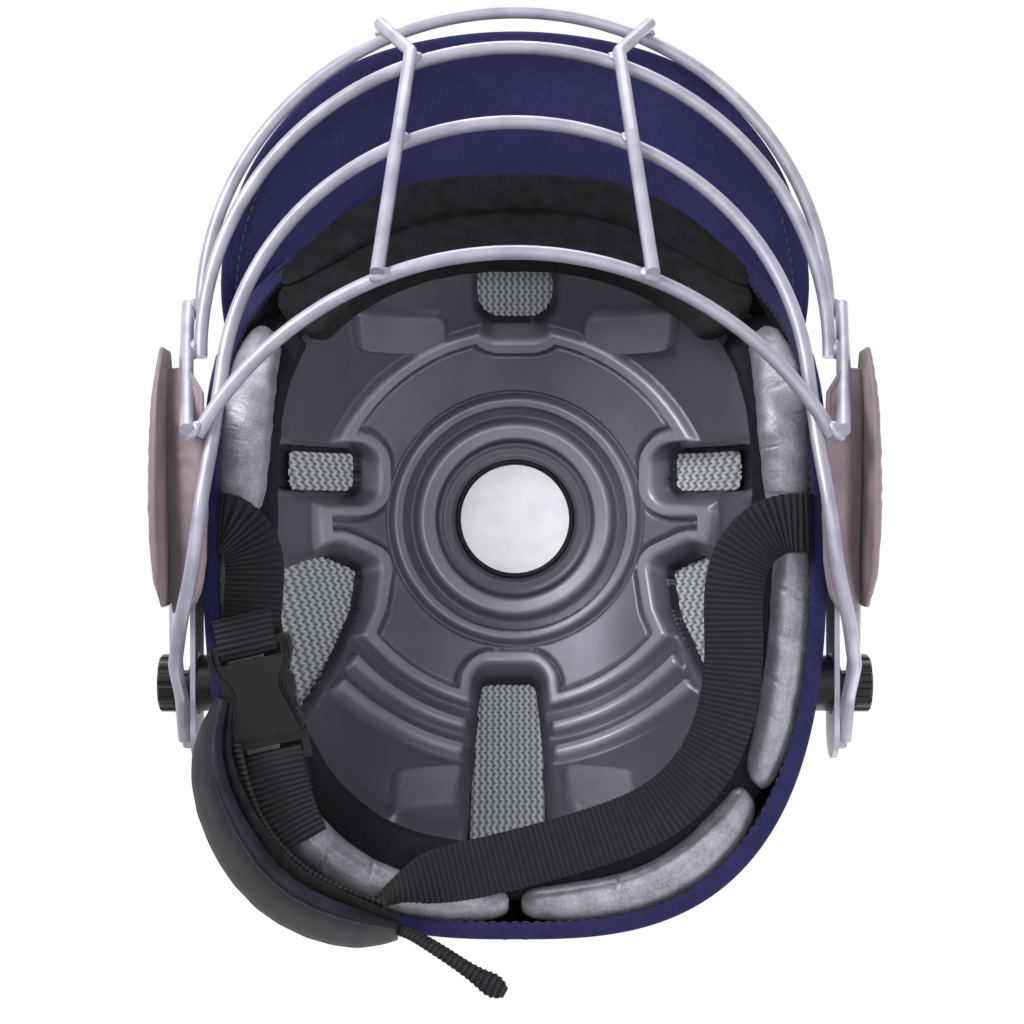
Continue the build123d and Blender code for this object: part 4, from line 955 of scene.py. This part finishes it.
# spacer mesh in the bottom of every vent, woven: rows of loops stand out from the cloth, and lean at the sides
meshLayer = {
    "inset": 16.6, "step": 0.5, "column": 2.5, "row": 3.0, "wave": 0.5, "loop": 0.5, "overlap": 0.4,
    "columnShare": 0.38, "rowShare": 0.12, "lean": {"left": 0.25, "right": -0.25},
}
for ventName, (corners, corner) in vents.items():
    low, high = np.min(corners, axis=0) - 0.5, np.max(corners, axis=0) + 0.5
    x, y = np.meshgrid(*[np.arange(a, b, meshLayer["step"]) for a, b in zip(low, high)])
    lean = meshLayer["lean"].get(ventName.split("_")[-1], 0)
    rowTurn = 2 * np.pi * y / meshLayer["row"]
    wavy = x + lean * y + meshLayer["wave"] * np.sin(rowTurn)
    weave = 0.5 + meshLayer["columnShare"] * np.cos(2 * np.pi * wavy / meshLayer["column"])
    weave = weave + meshLayer["rowShare"] * np.cos(2 * rowTurn)
    angleHere = np.arctan2(y, x)
    level = levelAtPlan(angleHere, np.hypot(x, y), meshLayer["inset"])
    grid = domeAt(angleHere, level, meshLayer["inset"] + meshLayer["loop"] * weave, liner["nape"])
    piece = meshFromGrid("ventMesh_" + ventName, grid, closedAround=False)
    # the material paints shade from this weave where it dips between the loops
    setAttribute(piece, "weave", weave.reshape(-1))
    form = bmesh.new()
    form.from_mesh(piece.data)
    form.verts.ensure_lookup_table()
    distance = polygonDistance(grid[..., 0], grid[..., 1], corners, corner).reshape(-1)
    outside = [form.verts[k] for k in np.nonzero(distance > meshLayer["overlap"])[0]]
    bmesh.ops.delete(form, geom=outside, context="VERTS")
    bmesh.ops.recalc_face_normals(form, faces=form.faces)
    if sum(face.normal.z for face in form.faces) > 0:
        bmesh.ops.reverse_faces(form, faces=form.faces)
    form.to_mesh(piece.data)
    form.free()
    finishPiece(piece, "spacer_mesh", "helmet", ["vent_mesh_" + ventName])

# label: a disc with a dark bevelled rim, left bare; each profile gives radius and height above the bottom
label = {
    "bottom": 183.1, "around": 128,
    "disc": [(0.01, 0.0), (12, 0.0), (21.8, 0.0), (22.2, -0.15)],
    "rim": [(22.2, -0.1), (22.5, -0.75), (23.2, -1.05), (24.0, -0.95), (24.4, -0.5), (24.5, 0.3)],
}
turn = ringOf(label["around"], 0)
for name, profile, replaced, look in (
    ("labelDisc", label["disc"], ["crown_label"], "white_label"), ("labelRim", label["rim"], (), "black_plastic"),
):
    grid = [np.stack([r * np.cos(turn), r * np.sin(turn), 0 * turn + label["bottom"] + z], -1) for r, z in profile]
    finishPiece(meshFromGrid(name, np.array(grid)), "white_label", "helmet", replaced, look)
print("vents and label are made")

# ear pads: two stuffed lobes on each side with piping along their seams; a station gives x, y, z of its middle, then
# half of its thickness and half of its height
earPads = {
    "columns": 110, "around": 56, "square": 0.85, "thinnest": 0.4, "fullAt": 2.6, "flatSwell": (0.95, 1.15),
    "wrinkle": 0.05, "wrinkles": 9, "wrinkleAlong": 1.2, "wrinkleAt": 0.75, "wrinkleWidth": 0.3,
    "piping": 0.85, "pipingAround": 10,
}
lobes = {
    # the lobe next to the wires is fuller and its lower part hangs inwards
    "ear_pad": {"hang": -11.5, "full": 1.4, "seed": 77, "stations": [
        (118.2, -52, 48, 1.2, 8), (116.4, -42, 42, 2.6, 19), (114, -24, 38, 3.9, 25), (113.6, -4, 38, 3.9, 26),
        (114.2, 14, 38, 2.6, 24), (114.8, 26, 37, 2.0, 17), (115.2, 32, 36, 1.0, 8),
    ]},
    "ear_pad_cover": {"hang": -1.5, "full": 1.25, "seed": 83, "stations": [
        (121.4, -58, 47, 1.2, 9), (121.2, -44, 42, 2.0, 19), (120.8, -24, 38, 2.6, 24), (120.7, -4, 38, 2.8, 25),
        (120.3, 14, 38, 2.6, 22), (119.8, 24, 37, 1.8, 15), (119.4, 29, 36, 0.9, 7),
    ]},
}
turn = ringOf(earPads["around"])
c, s = np.cos(turn), np.sin(turn)
flat = np.sign(c) * np.abs(c) ** earPads["square"]
span = np.linspace(0, 1, earPads["columns"])[:, None]
for lobeName, lobe in lobes.items():
    sections = splineThrough(lobe["stations"], earPads["columns"])
    half, tall = np.maximum(sections[:, 3:], earPads["thinnest"]).T
    middle = sections[:, :3]
    hang = lobe["hang"] * np.clip(half / earPads["fullAt"], 0, 1)
    # towards the shell the lobe stays flat down to its lower edge
    swell = np.where(flat < 0, np.where(s > -0.35, *earPads["flatSwell"]), lobe["full"])
    droop = np.clip((-0.05 - s) / 0.95, 0, 1) ** 1.25 * hang[:, None]
    for side, sign in (("left", 1), ("right", -1)):
        seed = lobe["seed"] + (3 if side == "left" else 0)
        wrinkle = ripple(span * earPads["wrinkleAlong"], turn, seed, earPads["wrinkles"])
        nearSeam = np.exp(-((np.abs(s) - earPads["wrinkleAt"]) / earPads["wrinkleWidth"]) ** 2)
        wrinkle = 1 + earPads["wrinkle"] * wrinkle * nearSeam
        outX = half[:, None] * flat * swell * wrinkle + droop
        grid = sweep(middle, [1, 0, 0], [0, 0, 1], outX, tall[:, None] * s)
        piece = capped(f"{lobeName}_{side}_form", grid * [sign, 1, 1])
        finishPiece(piece, "ear_suede", "face_guard", [f"{lobeName}_{side}"])
        # piping along the seam round the lobe
        top = middle + np.outer(tall, [0, 0, 1])
        bottom = middle + np.outer(hang, [1, 0, 0]) - np.outer(tall, [0, 0, 1])
        loop = np.concatenate([top, bottom[::-1]])
        ahead = unit(np.roll(loop, -1, axis=0) - np.roll(loop, 1, axis=0))
        cord = ringOf(earPads["pipingAround"])
        ring = sweep(loop, [1, 0, 0], np.cross(ahead, [1, 0, 0]), earPads["piping"] * np.cos(cord),
                     earPads["piping"] * np.sin(cord))
        piping = gridPiece(f"{lobeName}_{side}_piping", ring * [sign, 1, 1], closedAlong=True)
        finishPiece(piping, "ear_suede", "face_guard")
print("ear pads are made")

# webbing: flat straps with rounded edges; the ribs stand out across the strap and at its edges
strap = {"width": 20.0, "thick": 1.6, "faceRib": 0.16, "edgeRib": 0.12}
lowerFace = [
    (-1, -0.35), (-0.99, -0.8), (-0.955, -1), (-0.5, -1), (0, -1), (0.5, -1), (0.955, -1), (0.99, -0.8), (1, -0.35),
]
flatX, flatY = (1, 0, 0), (0, 1, 0)


def ribbon(name, points, across, count, body, node, width=strap["width"], thick=strap["thick"]):
    # strap along a line, with the direction of its width at every point
    both = splineThrough(np.concatenate([np.array(points, float), np.array(across, float)], axis=1), count)
    line, wide = both[:, :3], both[:, 3:]
    ahead = headings(line)
    wide = unit(wide - ahead * np.sum(wide * ahead, axis=1, keepdims=True))
    u, v = np.array(lowerFace + [(-a, -b) for a, b in lowerFace]).T
    along = lengthsAlong(line)[:, None]
    beat = np.cos(along * 2 * np.pi / webbing["rib"])
    edgeRibs = beat * np.where(np.abs(u) > 0.98, np.sign(u), 0) * strap["edgeRib"]
    faceRibs = beat * np.where(np.abs(v) > 0.9, np.sign(v), 0) * strap["faceRib"]
    grid = sweep(line, wide, np.cross(ahead, wide), u * width / 2 + edgeRibs, v * thick / 2 + faceRibs)
    uv = np.stack(np.broadcast_arrays(along, u * width / 2), -1)
    return finishPiece(capped(name, grid, uv=uv), "black_webbing", body, [node])


# tabs riveted inside the shell, down to where the strap hangs
tabPoints = [(100.7, 1, 62), (100.7, 1, 55), (100.7, 1, 46), (100.6, 1, 39), (100.4, 1, 34.6)]
for side, sign in (("left", 1), ("right", -1)):
    points = np.array(tabPoints) * [sign, 1, 1]
    ribbon("strapTab_" + side, points, [flatY] * 5, 60, "helmet", "strap_tab_" + side)

buckle = {"middle": (-90.4, 41.0, 29.7), "across": (0.9744, -0.225, 0), "along": (0.225, 0.9744, 0)}


def buckleSpot(x, y, z):
    # point in the buckle's own directions
    across, along = np.array(buckle["across"]), np.array(buckle["along"])
    return tuple(np.array(buckle["middle"]) + across * x + along * y + [0, 0, z])


# a moulded bead along each side of the buckle's underside
bead = {
    "line": [
        (12.7, 1.3), (12.75, 4.5), (12.3, 7.6), (9.6, 12.6), (8.2, 16.4), (8.6, 19.6), (10.4, 25.6), (11.3, 30.2),
        (11.4, 31.8),
    ],
    "radius": 0.75, "drop": -4.35, "columns": 80, "endColumns": 3.0,
}
turn = ringOf(12)
fromEnd = np.minimum(np.arange(bead["columns"]), np.arange(bead["columns"])[::-1])[:, None]
size = bead["radius"] * np.sqrt(np.clip(fromEnd / bead["endColumns"], 0.1, 1))
for sign, sideName in ((1, "inner"), (-1, "outer")):
    line = splineThrough([buckleSpot(sign * x, y, bead["drop"]) for x, y in bead["line"]], bead["columns"])
    tube = sweep(line, np.cross(headings(line), [0, 0, 1]), [0, 0, 1], size * np.cos(turn), size * np.sin(turn))
    finishPiece(capped("buckleBead_" + sideName, tube), "black_plastic", "chin_strap")

# short strap: from the tab, through the slot of the buckle and doubled back
points = [
    (-100.2, 1, 34.9), (-97.8, 1.5, 33.2), (-92.5, 5.5, 33.0), (-89.0, 12, 33.1), (-88.5, 22, 33.2), (-89.4, 33, 33.3),
]
slotTurn = [(2.0, 3.4), (4.1, 2.2), (4.7, 0), (4.1, -2.2), (2.0, -3.35), (-4, -3.3), (-9, -3.2)]
points += [buckleSpot(0, y, z) for y, z in slotTurn]
across = [flatY, flatY, (-0.55, 0.83, 0), (-0.97, 0.25, 0), (-1, 0, 0), (-1, 0.05, 0)]
across += [tuple(-np.array(buckle["across"]))] * len(slotTurn)
ribbon("strapShort", points, across, 190, "chin_strap", "strap_short")

# loop of the other half, round its bar: the upper layer ends in a seam, the lower one runs on to the cup
loopTurn = [
    (0, 54, 3.3), (0, 47, 3.35), (0, 41.6, 3.3), (0, 39.4, 2.3), (0, 38.8, 0), (0, 39.4, -2.3), (0, 41.6, -3.3),
    (0, 50, -3.5), (1.0, 60, -4.2), (3.5, 70, -5.4),
]
across = [buckle["across"]] * 8 + [(0.95, -0.28, -0.12), (0.9, -0.3, -0.3)]
ribbon("strapLoop", [buckleSpot(*spot) for spot in loopTurn], across, 190, "chin_strap", "strap_loop")

# long strap: from the tab on the other side, back along the pads and across behind the nape
points = [
    (100.4, 1, 34.9), (98.8, 1.2, 33.1), (93, 1.4, 32.6), (84.5, 4.5, 32.7), (77.5, 12.5, 32.9), (74.4, 24, 33),
    (74.3, 42, 33), (72.5, 62, 33), (65, 82, 33), (50.5, 97.5, 33), (30, 107, 33), (6, 114, 33), (-16, 119.3, 33.2),
    (-30, 122.3, 32.6), (-41, 126.0, 30.0), (-51, 129.5, 27.0), (-60.5, 128.4, 25.2),
]
across = [
    flatY, flatY, (0.12, 0.99, 0), (0.6, 0.8, 0), (0.92, 0.38, 0), (0.99, 0.1, 0), flatX, (0.97, 0.2, 0),
    (0.85, 0.52, 0), (0.6, 0.8, 0), (0.36, 0.93, 0), (0.25, 0.97, 0), (0.22, 0.97, 0.05), (0.22, 0.85, 0.45),
    (0.15, 0.45, 0.88), (-0.1, 0.2, 0.97), (-0.2, 0.1, 0.98),
]
ribbon("strapLong", points, across, 420, "chin_strap", "strap_long")
print("straps are made")

# chin cup of leather with its lining; a station gives x, y, z of its middle, then half of its wall and of its height
cup = {
    "lean": math.radians(30), "floor": 0.15, "columns": 150, "wrinkle": 0.03, "wrinkles": 8,
    "rimAt": 0.93, "rimWidth": 0.05,
    "stations": [
        (-97.5, 60, 20.5, 1.6, 2.6), (-101.6, 76, 16, 2.8, 8.5), (-95.0, 104, 15.6, 3.6, 16.0),
        (-80.8, 123, 15.8, 3.9, 17.6), (-63.2, 133, 16, 3.6, 17.0), (-48.3, 136.6, 17.6, 2.9, 12.4),
        (-39, 137.3, 19.5, 1.9, 5.6),
    ],
    "layers": {
        "chinCup": {"inwards": 0.0, "wall": 1.0, "height": 1.0, "square": 2.6, "around": 52, "rim": 0.35, "seed": 5,
                    "slot": "dark_leather", "node": "chin_cup"},
        "chinCupLining": {"inwards": 1.7, "wall": 0.55, "height": 0.85, "square": 2.4, "around": 40, "rim": 0.2,
                          "seed": 9, "slot": "black_felt", "node": "chin_cup_lining"},
    },
}


def cupDirections(sections):
    # through the cup's wall and up along it: the cup leans outwards at the top
    ahead = headings(sections[:, :2])
    out = np.stack([-ahead[:, 1], ahead[:, 0], 0 * ahead[:, 0]], -1)
    up = np.array([0, 0, 1.0])
    lean = cup["lean"]
    return out * math.cos(lean) - up * math.sin(lean), up * math.cos(lean) + out * math.sin(lean)


sections = splineThrough(cup["stations"], cup["columns"])
through, upwards = cupDirections(sections)
wall, height = sections[:, 3, None], sections[:, 4, None]
span = np.linspace(0, 1, cup["columns"])[:, None]
for layerName, layer in cup["layers"].items():
    c, s = roundedSquare(layer["around"], layer["square"])
    rim = 1 + layer["rim"] * np.exp(-((np.abs(s) - cup["rimAt"]) / cup["rimWidth"]) ** 2)
    wrinkle = 1 + cup["wrinkle"] * ripple(span, ringOf(layer["around"]), layer["seed"], cup["wrinkles"])
    middle = sections[:, :3] - through * wall * layer["inwards"]
    grid = sweep(middle, through, upwards, wall * layer["wall"] * c * rim * wrinkle, height * layer["height"] * s)
    grid[..., 2] = np.maximum(grid[..., 2], cup["floor"])
    piece = finishPiece(capped(layerName, grid), layer["slot"], "chin_strap", [layer["node"]])

# webbing along the cup's inner side
cupWebbing = {"inwards": 2.75, "width": 17.0, "thick": 1.5, "columns": 120, "every": 8}
inner = splineThrough(cup["stations"][1:], cupWebbing["columns"])
through, upwards = cupDirections(inner)
line = inner[:, :3] - through * inner[:, 3, None] * cupWebbing["inwards"]
every = cupWebbing["every"]
ribbon("cupWebbing", line[::every], upwards[::every], 260, "chin_strap", "cup_webbing",
       cupWebbing["width"], cupWebbing["thick"])

# bound tail of the cup; a station gives x, y, z of its middle, then half of its width and half of its height
tail = {"columns": 90, "around": 26, "square": 2.4, "rib": 0.07, "stations": [
    (-38.9, 137.0, 19.3, 1.5, 3.4), (-36.5, 137.4, 18.3, 1.6, 3.5), (-30, 139.6, 14, 1.9, 3.6),
    (-20, 144.6, 8, 2.2, 3.6), (-11, 149.8, 4.6, 3.1, 3.6), (-5.5, 153, 4, 3.3, 3.4), (-3.2, 154.3, 4, 1.8, 1.8),
]}
sections = splineThrough(tail["stations"], tail["columns"])
line = sections[:, :3]
ahead = headings(line)
sideways = unit(np.cross(ahead, [0, 0, 1]))
c, s = roundedSquare(tail["around"], tail["square"])
along = lengthsAlong(line)[:, None]
beat = 1 + tail["rib"] * np.cos(along * 2 * np.pi / webbing["rib"])
halfWidth, halfHeight = sections[:, 3, None] * beat, sections[:, 4, None] * beat
grid = sweep(line, sideways, np.cross(sideways, ahead), halfWidth * c, halfHeight * s)
grid[..., 2] = np.maximum(grid[..., 2], cup["floor"])
piece = capped("strapTail", grid, uv=np.stack(np.broadcast_arrays(along, 3 * s), -1))
finishPiece(piece, "black_webbing", "chin_strap", ["strap_tail"])
print("chin cup is made")


# welds: a smooth fillet of metal at every crossing of the wires
def arcThrough(end, middle, share):
    # point and direction at this share of the arc through both mirrored ends and the middle, from right to left
    a, b, c = np.array([-end[0], end[1], end[2]], float), np.array(middle, float), np.array(end, float)
    ab, ac = b - a, c - a
    normal = np.cross(ab, ac)
    towards = np.cross(normal, ab) * np.dot(ac, ac) + np.cross(ac, normal) * np.dot(ab, ab)
    centre = a + towards / (2 * np.dot(normal, normal))
    radius = np.linalg.norm(a - centre)
    first = (a - centre) / radius
    second = np.cross(unit(normal), first)
    turn = math.atan2(np.dot(c - centre, second), np.dot(c - centre, first)) % (2 * math.pi) * share
    spot = centre + radius * (first * math.cos(turn) + second * math.sin(turn))
    return spot, -first * math.sin(turn) + second * math.cos(turn)


bars = {
    "top": ((113.4, -72, 80), (0, -189, 103)), "second": ((110, -56.6, 55), (0, -169.3, 74)),
    "third": ((98, -47, 20.5), (0, -137, 45)), "chin": ((104.3, -27.5, 8.8), (0, -87.2, 6.66)),
}
# each crossing: the bar, the share of its run, and the place of the strut that it meets
weld = {"long": 3.6, "deep": 1.7, "wide": 2.5, "lump": 0.05, "lumps": (9, 7), "crossings": [
    ("top", 0.633, (50.05, -184.06, 101.18)), ("second", 0.604, (37.23, -166.94, 69.82)),
    ("third", 0.635, (40.01, -132.1, 39.2)), ("chin", 0.677, (44.82, -80.09, 1.9)),
    ("top", 0.992, (118.88, -77.76, 84.57)), ("second", 0.992, (114.8, -59.46, 54.75)),
    ("chin", 0.995, (106.99, -29.01, 3.88)),
]}
for number, (barName, share, strutSpot) in enumerate(weld["crossings"]):
    spot, tangent = arcThrough(*bars[barName], share)
    centre, toOther = (spot + strutSpot) / 2, unit(strutSpot - spot)
    axes = [tangent * weld["long"], toOther * weld["deep"], np.cross(tangent, toOther) * weld["wide"]]
    for sign, sideName in ((1, "Left"), (-1, "Right")):
        form = bmesh.new()
        bmesh.ops.create_icosphere(form, subdivisions=4, radius=1.0)
        for vertex in form.verts:
            p = np.array(vertex.co)
            first, second = [math.sin(beats * p[k] + (k + 1) * number) for k, beats in enumerate(weld["lumps"])]
            lump = 1 + weld["lump"] * first * second
            vertex.co = toWorld((centre + (p @ axes) * lump) * [sign, 1, 1])
        finishPiece(pieceFromForm(f"weld{number}{sideName}", form), "silver_wire", "face_guard")
print("welds are made")
